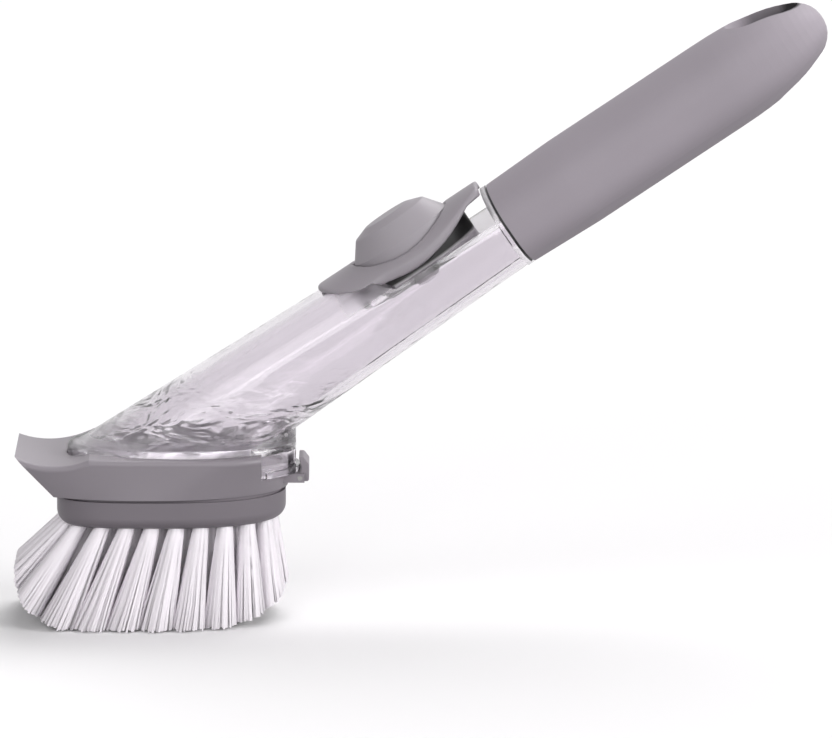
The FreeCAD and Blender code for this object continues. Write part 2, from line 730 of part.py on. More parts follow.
button_soft = rounded("button_soft", button_blank, brow_round, button_edges)
button_room = elliptic(
    "button_room",
    button_half_long - size("button_wall"),
    button_half_wide - size("button_wall"),
    size("button_roof") - skirt_bottom,
    (button, 0, skirt_bottom),
)
button_hollow = cut("button_hollow", button_soft, button_room)
hook_half = size("hook_wide") / 2
arch_inner_radius = size("bezel_radius") - size("bezel_thick")
hook_top = arch_center + math.sqrt(arch_inner_radius ** 2 - hook_half ** 2) - size("slip_gap")
hook_root = button_half_long - size("button_wall") / 2
hooks = []
for side, place in ((-1, "front"), (1, "rear")):
    inner = button + side * hook_root
    outer = button + side * (button_half_long + size("hook_reach"))
    hooks.append(
        box(
            "hook_" + place,
            (inner if side > 0 else outer, -hook_half, hook_top - size("hook_high")),
            (outer if side > 0 else inner, hook_half, hook_top),
        )
    )
handle_node("button_cap", fuse("button_cap", button_hollow, *hooks))

pump_top = pump_floor + size("pump_disc")


def on_button(rise):
    return handle.multiply(Placement(Vector(button, 0, rise), Rotation()))


pump_base = turned(
    "pump_base",
    [
        (size("air_port"), -size("spigot_long")),
        (size("spigot_radius"), -size("spigot_long")),
        (size("spigot_radius"), 0),
        (size("pump_radius"), 0),
        (size("pump_radius"), size("pump_disc")),
        (size("air_port"), size("pump_disc")),
    ],
    on_button(pump_floor),
)
node("pump_base", pump_base)

# Black gasket: a tray that lines the well round the skirt, up to the underside of the bezel
tray_outer = elliptic("tray_outer", tray_half_long, tray_half_wide, size("bezel_crest"), (button, 0, ledge))
tray_inner = elliptic(
    "tray_inner",
    tray_half_long - size("tray_wall"),
    tray_half_wide - size("tray_wall"),
    size("bezel_crest"),
    (button, 0, pump_floor),
)
tray_hole = cylinder(
    "tray_hole", size("spigot_radius") + size("seat_gap"), size("bezel_crest"), (button, 0, 0)
)
tray_arch = cylinder(
    "tray_arch", arch_inner_radius - size("face_gap"), 2 * collar, (0, 0, arch_center), along_handle
)
tray_blank = cut("tray_blank", tray_outer, fuse("tray_tools", tray_inner, tray_hole))
handle_node("pump_gasket", common("pump_gasket", tray_blank, tray_arch))

air_stem = size("air_port") - size("seat_gap")
air_valve = turned(
    "air_valve",
    [
        (0, -size("air_cap_thick")),
        (size("air_cap"), -size("air_cap_thick")),
        (size("air_cap"), 0),
        (air_stem, 0),
        (air_stem, size("spigot_long")),
        (0, size("spigot_long")),
    ],
    on_button(pump_floor - size("spigot_long")),
)
node("air_valve", air_valve)


# Rubber bellows: a foot flange, a wall that folds in and out, and a closed top under the button's roof
def bellows_outline():
    folds = int(size("bellows_folds"))
    flange = size("bellows_wall")
    top = size("button_roof") - size("face_gap") - pump_top
    cap = size("bellows_wall")
    wave = (top - flange - cap) / (2 * folds)
    outer = size("bellows_radius")
    inner = size("bellows_radius") - size("bellows_fold")
    rising = []
    falling = []
    for i in range(2 * folds + 1):
        radius = inner if i % 2 == 0 else outer
        rising.append((radius, flange + wave * i))
        falling.append((radius - size("bellows_wall"), flange + wave * i))
    bottom = [(inner - size("bellows_wall"), 0), (size("pump_radius") - size("bellows_wall"), 0)]
    flange_edge = [(size("pump_radius") - size("bellows_wall"), flange)]
    crown = [(inner, top), (0, top), (0, top - cap)]
    return bottom + flange_edge + rising + crown + falling[::-1]


node("pump_bellows", turned("pump_bellows", bellows_outline(), on_button(pump_top)))

clamp_inner = size("bellows_radius") + size("seat_gap")
bellows_ring = turned(
    "bellows_ring",
    [
        (size("pump_radius") - size("bellows_wall") + size("seat_gap"), 0),
        (size("pump_radius"), 0),
        (size("pump_radius"), size("bellows_wall") + size("clamp_high")),
        (clamp_inner, size("bellows_wall") + size("clamp_high")),
        (clamp_inner, size("bellows_wall")),
        (size("pump_radius") - size("bellows_wall") + size("seat_gap"), size("bellows_wall")),
    ],
    on_button(pump_top),
)
node("bellows_ring", bellows_ring)

# The grip: a soft sleeve with a hanging slot over a hard core that closes the filler neck

grip_start = collar + size("gasket_thick") + size("face_gap")
grip_end = collar + size("grip_long")
nose_start = grip_end - size("nose_long")
swell_end = grip_start + size("mouth_run")
grip_half_wide = size("grip_wide") / 2
grip_half_deep = size("grip_deep") / 2
nose_steps = 14
nose_sweep = math.radians(87)


def straight_sections(end, inset):
    return [
        oval(grip_start, mouth_half_wide, mouth_half_deep, inset),
        oval(swell_end, grip_half_wide, grip_half_deep, inset),
        oval(end, grip_half_wide, grip_half_deep, inset),
    ]


# Section of the rounded end, swept from full size to a small flat
def nose_section(sweep):
    run = math.sin(sweep) ** (2 / size("nose_power"))
    shrink = math.cos(sweep) ** (2 / size("nose_power"))
    return oval(nose_start + size("nose_long") * run, grip_half_wide, grip_half_deep, 0, shrink)


nose_sections = [nose_section(nose_sweep * i / nose_steps) for i in range(nose_steps + 1)]
sleeve_nose = feature("sleeve_nose", Part.makeLoft(nose_sections, True, True))
sleeve_shaft = feature("sleeve_shaft", Part.makeLoft(straight_sections(nose_start, 0), True, True))
sleeve_blank = fuse("sleeve_blank", sleeve_shaft, sleeve_nose)
sleeve_floor = nose_start + size("sleeve_wall")
room_sections = straight_sections(sleeve_floor, size("sleeve_wall"))
sleeve_room = feature("sleeve_room", Part.makeLoft(room_sections, True, True))

slot_half_long = size("slot_long") / 2
slot_half_wide = size("slot_wide") / 2
slot_center = grip_end - size("slot_end_wall") - slot_half_long


# Rounded slot outline at a given rise, widened by flare
def slot_outline(rise, flare):
    radius = slot_half_wide + flare
    straight = slot_half_long - slot_half_wide
    front = slot_center - straight
    rear = slot_center + straight
    edges = [
        Part.LineSegment(Vector(front, -radius, rise), Vector(rear, -radius, rise)).toShape(),
        Part.Arc(
            Vector(rear, -radius, rise), Vector(rear + radius, 0, rise), Vector(rear, radius, rise)
        ).toShape(),
        Part.LineSegment(Vector(rear, radius, rise), Vector(front, radius, rise)).toShape(),
        Part.Arc(
            Vector(front, radius, rise), Vector(front - radius, 0, rise), Vector(front, -radius, rise)
        ).toShape(),
    ]
    return Part.Wire(edges)


slot_waist = grip_half_deep * 0.45
slot_steps = [
    (-grip_half_deep, size("slot_flare")),
    (-slot_waist, 0),
    (slot_waist, 0),
    (grip_half_deep, size("slot_flare")),
]
slot_tool = feature(
    "slot_tool", Part.makeLoft([slot_outline(rise, flare) for rise, flare in slot_steps], True, True)
)
sleeve_hollow = cut("sleeve_hollow", sleeve_blank, sleeve_room)
handle_node("grip_sleeve", cut("grip_sleeve", sleeve_hollow, slot_tool))

core_inset = size("sleeve_wall") + size("seat_gap")
core_end = sleeve_floor - size("face_gap")
core_blank = feature("core_blank", Part.makeLoft(straight_sections(core_end, core_inset), True, True))
socket_end = neck_end + size("slip_gap")
core_socket = feature(
    "core_socket", oval_bar(grip_start, socket_end, mouth_half_wide, mouth_half_deep, socket_inset)
)
core_room = feature(
    "core_room",
    oval_bar(socket_end + size("core_bulkhead"), core_end, mouth_half_wide, mouth_half_deep, socket_inset),
)
handle_node("grip_core", cut("grip_core", core_blank, fuse("core_rooms", core_socket, core_room)))

# The head: a frame with its scraper beak, the brush block, the tufts and the latch

frame_floor = size("foot_bottom") - size("face_gap")
side_start = -size("frame_front") / 4


# Plan outline of the frame: straight front edge, bowed sides, parallel flanks and an elliptic rear end
def frame_outline(height, front, front_half, rear, sweep):
    turn = rear - sweep
    bow_x, bow_y = bow_middle((side_start, frame_half_wide), (-front, front_half))

    def spot(x, y):
        return Vector(x, y, height)

    half_turn = Part.Arc(Vector(0, -1, 0), Vector(1, 0, 0), Vector(0, 1, 0)).toShape()
    stretch = FreeCAD.Matrix()
    stretch.scale(sweep, frame_half_wide, 1)
    stretch.move(spot(turn, 0))
    edges = [
        Part.LineSegment(spot(-front, front_half), spot(-front, -front_half)).toShape(),
        Part.Arc(
            spot(-front, -front_half), spot(bow_x, -bow_y), spot(side_start, -frame_half_wide)
        ).toShape(),
        Part.LineSegment(spot(side_start, -frame_half_wide), spot(turn, -frame_half_wide)).toShape(),
        half_turn.transformGeometry(stretch),
        Part.LineSegment(spot(turn, frame_half_wide), spot(side_start, frame_half_wide)).toShape(),
        Part.Arc(spot(side_start, frame_half_wide), spot(bow_x, bow_y), spot(-front, front_half)).toShape(),
    ]
    return Part.Wire(edges)


frame_low = frame_outline(
    size("frame_bottom"),
    size("frame_front"),
    size("frame_front_wide") / 2,
    size("frame_rear_low"),
    size("rear_sweep_low"),
)
frame_high = frame_outline(
    size("frame_top"),
    size("blade_front"),
    size("blade_wide") / 2,
    size("frame_rear_high"),
    size("rear_sweep_high"),
)
frame_blank = feature("frame_blank", Part.makeLoft([frame_low, frame_high], True, True))
lug_inner = size("latch_wide") / 2 + size("slip_gap")
hub_radius = size("pin_radius") + size("hub_wall")
pivot_x = size("latch_pivot_x")
pivot_z = size("latch_pivot_z")
lugs = []
for side, place in ((-1, "near"), (1, "far")):
    edges = sorted((side * lug_inner, side * (lug_inner + size("lug_thick"))))
    lugs.append(
        box(
            "lug_" + place,
            (size("notch_front"), edges[0], pivot_z - hub_radius),
            (pivot_x + hub_radius, edges[1], frame_floor),
        )
    )
across = Rotation(Vector(1, 0, 0), -90)
scoop = cylinder(
    "scoop",
    size("scoop_radius"),
    2 * size("frame_wide"),
    (-size("scoop_center"), -size("frame_wide"), size("scoop_bottom") + size("scoop_radius")),
    across,
)
frame_scooped = cut("frame_scooped", frame_blank, scoop)


def rim_edges(edge):
    middle = edge.valueAt((edge.FirstParameter + edge.LastParameter) / 2)
    rise = middle.z - size("scoop_bottom") - size("scoop_radius")
    on_scoop = abs(math.hypot(middle.x + size("scoop_center"), rise) - size("scoop_radius")) < 1e-3
    on_top = abs(middle.z - size("frame_top")) < 1e-3
    return (on_scoop or on_top) and abs(middle.y) > 1e-3


frame_soft = rounded("frame_soft", frame_scooped, size("rim_round"), rim_edges)
frame_solid = fuse("frame_solid", frame_soft, *lugs)
frame_socket = elliptic(
    "frame_socket",
    foot_half_long + size("slip_gap"),
    foot_half_wide + size("slip_gap"),
    size("foot_top"),
    (size("foot_center"), 0, frame_floor),
)
frame_notch = box(
    "frame_notch",
    (size("notch_front"), -size("frame_wide"), frame_floor),
    (2 * size("frame_rear_high"), size("frame_wide"), 2 * size("frame_top")),
)
seal_outer = size("nozzle_radius") + size("seal_wide")
seal_hole = cylinder("seal_hole", seal_outer + size("seat_gap"), size("frame_top"), (*nozzle_place, 0))
pin_long = 2 * (lug_inner + size("lug_thick"))
lug_hole = cylinder(
    "lug_hole",
    size("pin_radius") + size("seat_gap"),
    2 * pin_long,
    (pivot_x, -pin_long, pivot_z),
    across,
)
frame_tools = fuse("frame_tools", frame_socket, frame_notch, seal_hole, lug_hole)
node("head_frame", cut("head_frame", frame_solid, frame_tools))

head_seal = turned(
    "head_seal",
    [
        (size("nozzle_radius") + size("seat_gap"), 0),
        (seal_outer, 0),
        (seal_outer, frame_floor - size("frame_bottom")),
        (size("nozzle_radius") + size("seat_gap"), frame_floor - size("frame_bottom")),
    ],
    Placement(Vector(*nozzle_place, size("frame_bottom")), Rotation()),
)
node("head_seal", head_seal)

pin_start = (pivot_x, -pin_long / 2, pivot_z)
node("latch_pin", cylinder("latch_pin", size("pin_radius"), pin_long, pin_start, across))

lip_end = size("foot_center") + foot_half_long + size("lip_proud")
lip_top = size("foot_bottom") + size("lip_high")
latch_inner = lip_end + size("slip_gap")
catch_tip = lip_end - size("catch_reach")
catch_root = lip_top + size("slip_gap") / 2
latch_body, latch_sketch = sketch_body(
    "latch_arm",
    "XZ_Plane",
    [
        (pivot_x, pivot_z - hub_radius),
        (size("latch_outer") - size("catch_reach"), pivot_z - hub_radius),
        (size("latch_outer"), pivot_z - hub_radius + size("catch_reach")),
        (size("latch_outer"), size("latch_top") - size("lug_thick") - size("catch_reach")),
        (latch_inner + size("lug_thick") / 2, size("latch_top")),
        (catch_tip + size("catch_reach") / 2, size("latch_top")),
        (catch_tip, size("latch_top") - size("catch_reach")),
        (latch_inner, catch_root),
        (latch_inner, frame_floor),
        (pivot_x, frame_floor),
    ],
)
latch_pad = latch_body.newObject("PartDesign::Pad", "latch_pad")
latch_pad.Profile = latch_sketch
latch_pad.SideType = "Symmetric"
bind(latch_pad, Length=size("latch_wide"))
latch_hub = cylinder(
    "latch_hub", hub_radius, size("latch_wide"), (pivot_x, -size("latch_wide") / 2, pivot_z), across
)
latch_hole = cylinder(
    "latch_hole",
    size("pin_radius") + size("seat_gap"),
    2 * pin_long,
    (pivot_x, -pin_long, pivot_z),
    across,
)
node("release_latch", cut("release_latch", fuse("latch_solid", latch_body, latch_hub), latch_hole))


# Points evenly spaced round the block's outline: blunt at the front, rounder at the rear
def block_ring(half_long, half_wide, count):
    fine = []
    steps = 1440
    for i in range(steps + 1):
        angle = 2 * math.pi * i / steps
        cosine = math.cos(angle)
        sine = math.sin(angle)
        power = 2 / (size("block_front_power") if cosine < 0 else size("block_rear_power"))
        x = half_long * math.copysign(abs(cosine) ** power, cosine)
        y = half_wide * math.copysign(abs(sine) ** power, sine)
        fine.append((float(x), float(y)))
    passed = [0.0]
    for start, end in zip(fine, fine[1:]):
        passed.append(passed[-1] + math.dist(start, end))
    chosen = []
    index = 0
    for i in range(count):
        while passed[index] < passed[-1] * i / count:
            index += 1
        chosen.append(fine[index])
    return chosen, passed[-1]


block_half_long = size("block_long") / 2
block_half_wide = size("block_wide") / 2
block_bottom = size("block_bottom")
groove_start = size("frame_bottom") - size("groove_high")


def block_layer(name, inset, bottom, top):
    points = block_ring(block_half_long - inset, block_half_wide - inset, 48)[0]
    curve = Part.BSplineCurve()
    curve.interpolate([Vector(x, y, bottom) for x, y in points], PeriodicFlag=True)
    return feature(name, Part.Face(Part.Wire([curve.toShape()])).extrude(Vector(0, 0, top - bottom)))


block_slab = block_layer("block_slab", 0, block_bottom, groove_start)
block_soft = rounded("block_soft", block_slab, size("block_round"), at_height(block_bottom))
block_neck = block_layer("block_neck", size("groove_deep"), groove_start, size("frame_bottom"))
block_blank = fuse("block_blank", block_soft, block_neck)


def ring_of_tufts(inset):
    half_long = block_half_long - inset
    half_wide = block_half_wide - inset
    length = block_ring(half_long, half_wide, 1)[1]
    return block_ring(half_long, half_wide, round(length / size("tuft_pitch")))[0]


tuft_rings = {
    "bristles_outer": ring_of_tufts(size("outer_inset")),
    "bristles_middle": ring_of_tufts(size("middle_inset")),
    "bristles_center": [
        (size("center_first") - size("center_pitch") * i, 0.0) for i in range(int(size("center_count")))
    ],
}


# Where a tuft leaves the block, with its z axis along the tuft
def tuft_place(x, y):
    along = math.radians(size("lean_rate") * (x - size("lean_zero")))
    sideways = math.radians(size("side_lean_rate") * y)
    down = Vector(math.tan(along), math.tan(sideways), -1)
    return Placement(Vector(x, y, block_bottom), Rotation(Vector(0, 0, 1), down))


tuft_long = block_bottom + size("tuft_spare")
tuft_root = size("tuft_depth") - 2 * (size("staple_radius") + size("seat_gap"))
tuft_half = Part.makePolygon(
    [
        Vector(0, 0, -tuft_root),
        Vector(size("tuft_radius"), 0, -tuft_root),
        Vector(size("tuft_radius"), 0, 0),
        Vector(size("tuft_tip"), 0, tuft_long),
        Vector(0, 0, tuft_long),
        Vector(0, 0, -tuft_root),
    ]
)
tuft_shape = Part.Face(tuft_half).revolve(Vector(0, 0, 0), Vector(0, 0, 1), 360)
hole_start = 2 * size("block_round")
hole_shape = Part.makeCylinder(
    size("tuft_radius") + size("face_gap"),
    size("tuft_depth") + hole_start,
    Vector(0, 0, -size("tuft_depth")),
)
staple_half = size("tuft_radius") - size("seat_gap")
staple_shape = Part.makeCylinder(
    size("staple_radius"),
    2 * staple_half,
    Vector(0, -staple_half, -size("tuft_depth") + size("staple_radius") + size("seat_gap")),
    Vector(0, 1, 0),
)
trim_space = Part.makeBox(
    4 * size("block_long"),
    4 * size("block_long"),
    size("frame_top"),
    Vector(-2 * size("block_long"), -2 * size("block_long"), 0),
)
hole_solids = [Part.makeCylinder(size("soap_hole"), size("frame_top"), Vector(*nozzle_place, 0))]
staple_solids = []
for name, places in tuft_rings.items():
    tufts = []
    for x, y in places:
        place = tuft_place(x, y)
        tufts += tuft_shape.transformed(place.toMatrix(), True).common(trim_space).Solids
        hole_solids.append(hole_shape.transformed(place.toMatrix(), True))
        staple_solids.append(staple_shape.transformed(place.toMatrix(), True))
    node(name, feature(name, Part.makeCompound(tufts)))
node("tuft_staples", feature("tuft_staples", Part.makeCompound(staple_solids)))
block_holes = feature("block_holes", Part.makeCompound(hole_solids))
node("brush_block", cut("brush_block", block_blank, block_holes))

# Every object has to be sound before anything is written

doc.recompute()
failed = [piece.Name for piece in doc.Objects if {"Invalid", "Error"} & set(piece.State)]
if failed:
    raise RuntimeError("not built: " + ", ".join(failed))
for name, piece in nodes.items():
    if piece.Shape.isNull() or not piece.Shape.isValid() or not piece.Shape.Solids:
        raise RuntimeError("not a sound solid: " + name)

os.makedirs("parts", exist_ok=True)
for name, piece in nodes.items():
    piece.Shape.exportStep(f"parts/{name}.step")
    limits = piece.Shape.BoundBox
    print(
        f"{name}: {len(piece.Shape.Solids)} solids, {piece.Shape.Volume:.0f} mm3,"
        f" x {limits.XMin:.1f}..{limits.XMax:.1f}, y {limits.YMin:.1f}..{limits.YMax:.1f},"
        f" z {limits.ZMin:.1f}..{limits.ZMax:.1f}"
    )
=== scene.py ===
import math
import bmesh
import bpy
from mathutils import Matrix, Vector


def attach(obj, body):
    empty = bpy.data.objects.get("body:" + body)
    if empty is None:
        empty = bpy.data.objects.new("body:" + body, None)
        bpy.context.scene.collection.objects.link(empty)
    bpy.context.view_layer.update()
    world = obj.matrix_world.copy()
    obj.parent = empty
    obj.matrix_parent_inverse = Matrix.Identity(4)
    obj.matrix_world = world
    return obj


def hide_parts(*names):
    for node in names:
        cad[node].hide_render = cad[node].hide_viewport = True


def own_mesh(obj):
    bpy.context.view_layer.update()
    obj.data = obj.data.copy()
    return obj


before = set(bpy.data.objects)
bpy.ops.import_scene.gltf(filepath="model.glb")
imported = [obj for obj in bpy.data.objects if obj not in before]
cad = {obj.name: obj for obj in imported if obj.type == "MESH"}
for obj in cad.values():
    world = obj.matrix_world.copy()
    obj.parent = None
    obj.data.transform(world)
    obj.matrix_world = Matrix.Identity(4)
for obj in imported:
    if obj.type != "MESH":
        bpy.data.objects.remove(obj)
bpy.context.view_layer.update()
mm = 0.001
print("frame loaded,", len(cad), "nodes")


# node helpers, for shader trees and geometry trees alike

def put(tree, kind, inputs=None, **settings):
    node = tree.nodes.new(kind)
    for name, value in settings.items():
        setattr(node, name, value)
    for key, value in (inputs or {}).items():
        feed(tree, node.inputs[key], value)
    return node


def feed(tree, socket, value):
    if isinstance(value, bpy.types.NodeSocket):
        tree.links.new(value, socket)
    else:
        socket.default_value = value


def sums(tree, operation, first, second=0.0):
    return put(tree, "ShaderNodeMath", {0: first, 1: second}, operation=operation).outputs[0]


def vectors(tree, operation, first, second=(0, 0, 0)):
    node = put(tree, "ShaderNodeVectorMath", {0: first}, operation=operation)
    if operation == "SCALE":
        feed(tree, node.inputs["Scale"], second)
    elif operation not in ("NORMALIZE", "LENGTH"):
        feed(tree, node.inputs[1], second)
    return node.outputs[0]


def dot(tree, first, second):
    return sums(
        tree, "ADD", sums(tree, "MULTIPLY", first[0], second[0]), sums(tree, "MULTIPLY", first[1], second[1]))


def hypot(tree, first, second):
    return sums(tree, "SQRT", dot(tree, (first, second), (first, second)))


def ramp(tree, value, start, end, low=0.0, high=1.0, kind="LINEAR"):
    return put(
        tree, "ShaderNodeMapRange",
        {"Value": value, "From Min": start, "From Max": end, "To Min": low, "To Max": high},
        interpolation_type=kind,
    ).outputs[0]


def noise(tree, place, scale, detail, roughness=0.5, distortion=0.0):
    return put(tree, "ShaderNodeTexNoise", {
        "Vector": place, "Scale": scale, "Detail": detail, "Roughness": roughness, "Distortion": distortion,
    }).outputs


def blended(tree, share, first, second):
    return put(tree, "ShaderNodeMix", {0: share, 6: first, 7: second}, data_type="RGBA").outputs[2]


def apart(tree, vector):
    return put(tree, "ShaderNodeSeparateXYZ", {0: vector}).outputs


def joined(tree, x, y, z=0.0):
    return put(tree, "ShaderNodeCombineXYZ", {0: x, 1: y, 2: z}).outputs[0]


def objectPlace(tree):
    return put(tree, "ShaderNodeTexCoord").outputs["Object"]


def nodeOf(tree, kind):
    return next(node for node in tree.nodes if node.type == kind)


# camera

photoView = {
    "pixels": (832, 738),
    "originPixel": (171, 615),  # where the frame's origin shows
    "pixelSize": 0.29 * mm,  # on the middle plane of the handle
    "elevation": math.radians(12.5),
    "distance": 2.5,
    "sensor": 36.0,
    "clipEnd": 100.0,
}


def placeCamera(view):
    wide, high = view["pixels"]
    across = (wide / 2 - view["originPixel"][0]) * view["pixelSize"]
    rise = (view["originPixel"][1] - high / 2) * view["pixelSize"]
    target = Vector((across, 0, rise / math.cos(view["elevation"])))
    look = Vector((0, math.cos(view["elevation"]), -math.sin(view["elevation"])))
    lens = bpy.data.cameras.new("photoCamera")
    lens.sensor_width = view["sensor"]
    lens.lens = view["sensor"] * view["distance"] / (wide * view["pixelSize"])
    lens.clip_end = view["clipEnd"]
    camera = bpy.data.objects.new("photoCamera", lens)
    camera.location = target - look * view["distance"]
    camera.rotation_euler = (math.pi / 2 - view["elevation"], 0, 0)
    bpy.context.scene.collection.objects.link(camera)
    bpy.context.scene.camera = camera


placeCamera(photoView)
bpy.context.scene.view_settings.view_transform = "Standard"
print("camera placed")


# floor, world and lamps

studio = {
    "floorColour": (0.85, 0.84, 0.85, 1),
    "floorBounce": (0.26, 0.257, 0.26, 1),  # what the floor sends back up to the object
    "floorGlow": 0.04,  # lifts the lit floor to white where the camera sees it
    "floorHalf": 30.0,
    "worldColour": (1.0, 0.99, 1.0, 1),
    "worldStrength": 0.15,
    "suns": (
        # name, where it shines from, width in degrees, strength
        ("frontSun", (-0.48, -0.70, 0.52), 50.0, 0.95),
        ("lowSun", (0.0, -0.97, 0.22), 45.0, 1.08),
        ("rightSun", (0.85, -0.40, 0.35), 30.0, 2.0),
        ("backSun", (0.30, 0.45, 0.84), 45.0, 2.1),
    ),
}


def seenRay(tree):
    path = put(tree, "ShaderNodeLightPath")
    direct = sums(tree, "MAXIMUM", path.outputs["Is Camera Ray"], path.outputs["Is Glossy Ray"])
    return sums(tree, "MAXIMUM", direct, path.outputs["Is Transmission Ray"])


def floorFinish(values):
    finish = bpy.data.materials.new("floorFinish")
    finish.use_nodes = True
    tree = finish.node_tree
    tree.nodes.clear()
    seen = seenRay(tree)
    colour = blended(tree, seen, values["floorBounce"], values["floorColour"])
    card = put(tree, "ShaderNodeBsdfDiffuse", {"Color": colour})
    lift = sums(tree, "MULTIPLY", seen, values["floorGlow"])
    white = put(tree, "ShaderNodeEmission", {"Color": (1, 1, 1, 1), "Strength": lift})
    both = put(tree, "ShaderNodeAddShader", {0: card.outputs[0], 1: white.outputs[0]})
    put(tree, "ShaderNodeOutputMaterial", {"Surface": both.outputs[0]})
    return finish


def makeStudio(values):
    half = values["floorHalf"]
    corners = [(-half, -half, 0), (half, -half, 0), (half, half, 0), (-half, half, 0)]
    mesh = bpy.data.meshes.new("studioFloor")
    mesh.from_pydata(corners, [], [(0, 1, 2, 3)])
    mesh.materials.append(floorFinish(values))
    floor = bpy.data.objects.new("studioFloor", mesh)
    bpy.context.scene.collection.objects.link(floor)

    world = bpy.data.worlds.new("studioWorld")
    bpy.context.scene.world = world
    world.use_nodes = True
    tree = world.node_tree
    tree.nodes.clear()
    soft = put(
        tree, "ShaderNodeBackground", {"Color": values["worldColour"], "Strength": values["worldStrength"]})
    white = put(tree, "ShaderNodeBackground", {"Color": (1, 1, 1, 1), "Strength": 1.0})
    mixed = put(tree, "ShaderNodeMixShader", {0: seenRay(tree), 1: soft.outputs[0], 2: white.outputs[0]})
    put(tree, "ShaderNodeOutputWorld", {"Surface": mixed.outputs[0]})

    for name, source, width, strength in values["suns"]:
        light = bpy.data.lights.new(name, "SUN")
        light.angle = math.radians(width)
        light.energy = strength
        lamp = bpy.data.objects.new(name, light)
        lamp.location = source
        lamp.rotation_euler = Vector(source).to_track_quat("Z", "Y").to_euler()
        bpy.context.scene.collection.objects.link(lamp)


makeStudio(studio)
print("studio lit")


# shared surface effects

def effectGroup(name, inputs, outputs):
    tree = bpy.data.node_groups.new(name, "ShaderNodeTree")
    for title, kind, value in inputs:
        socket = tree.interface.new_socket(title, in_out="INPUT", socket_type=kind)
        socket.default_value = value
    for title, kind in outputs:
        tree.interface.new_socket(title, in_out="OUTPUT", socket_type=kind)
    return tree, put(tree, "NodeGroupInput").outputs, put(tree, "NodeGroupOutput").inputs


def makeMouldGrain():
    # fine spark-eroded grain, faint clouding of the colour, and a roughness that follows both
    tree, given, result = effectGroup(
        "mouldGrain",
        (
            ("Colour", "NodeSocketColor", (0.5, 0.5, 0.5, 1)),
            ("Grain Scale", "NodeSocketFloat", 2600.0),
            ("Cloud Scale", "NodeSocketFloat", 45.0),
            ("Cloud Depth", "NodeSocketFloat", 0.06),
            ("Roughness", "NodeSocketFloat", 0.5),
            ("Roughness Spread", "NodeSocketFloat", 0.1),
        ),
        (("Colour", "NodeSocketColor"), ("Roughness", "NodeSocketFloat"), ("Height", "NodeSocketFloat")),
    )
    place = objectPlace(tree)
    grain = noise(tree, place, given["Grain Scale"], 2.0, 0.6)[0]
    cloud = noise(tree, place, given["Cloud Scale"], 3.0, 0.55)[0]
    swing = sums(tree, "MULTIPLY", sums(tree, "SUBTRACT", cloud, 0.5), given["Cloud Depth"])
    fleck = sums(tree, "MULTIPLY", sums(tree, "SUBTRACT", grain, 0.5), given["Cloud Depth"])
    level = sums(tree, "ADD", 1.0, sums(tree, "ADD", sums(tree, "MULTIPLY", swing, 2.0), fleck))
    toned = vectors(tree, "SCALE", given["Colour"], level)
    feed(tree, result["Colour"], toned)
    both = sums(tree, "SUBTRACT", sums(tree, "ADD", grain, cloud), 1.0)
    rough = sums(tree, "ADD", given["Roughness"], sums(tree, "MULTIPLY", both, given["Roughness Spread"]))
    feed(tree, result["Roughness"], rough)
    feed(tree, result["Height"], grain)
    return tree


handleValues = {
    "start": (0.0, 0.0, 50.0 * mm), "along": (0.8290, 0.0, 0.5592), "rise": (-0.5592, 0.0, 0.8290),
}


def makeHandlePlace(values):
    # where a point lies in the handle: along it, out towards the button, and to the side
    tree, given, result = effectGroup(
        "handlePlace", (),
        (("Along", "NodeSocketFloat"), ("Rise", "NodeSocketFloat"), ("Side", "NodeSocketFloat")),
    )
    place = vectors(tree, "SUBTRACT", objectPlace(tree), values["start"])
    for title, key in (("Along", "along"), ("Rise", "rise")):
        share = put(tree, "ShaderNodeVectorMath", {0: place, 1: values[key]}, operation="DOT_PRODUCT")
        feed(tree, result[title], share.outputs["Value"])
    feed(tree, result["Side"], apart(tree, place)["Y"])
    return tree


mouldGrain = makeMouldGrain()
handlePlace = makeHandlePlace(handleValues)
print("surface effects built")


# finishes

def newFinish(name):
    finish = bpy.data.materials.new(name)
    finish.use_nodes = True
    tree = finish.node_tree
    tree.nodes.clear()
    shader = put(tree, "ShaderNodeBsdfPrincipled")
    put(tree, "ShaderNodeOutputMaterial", {"Surface": shader.outputs[0]})
    return finish, tree, shader


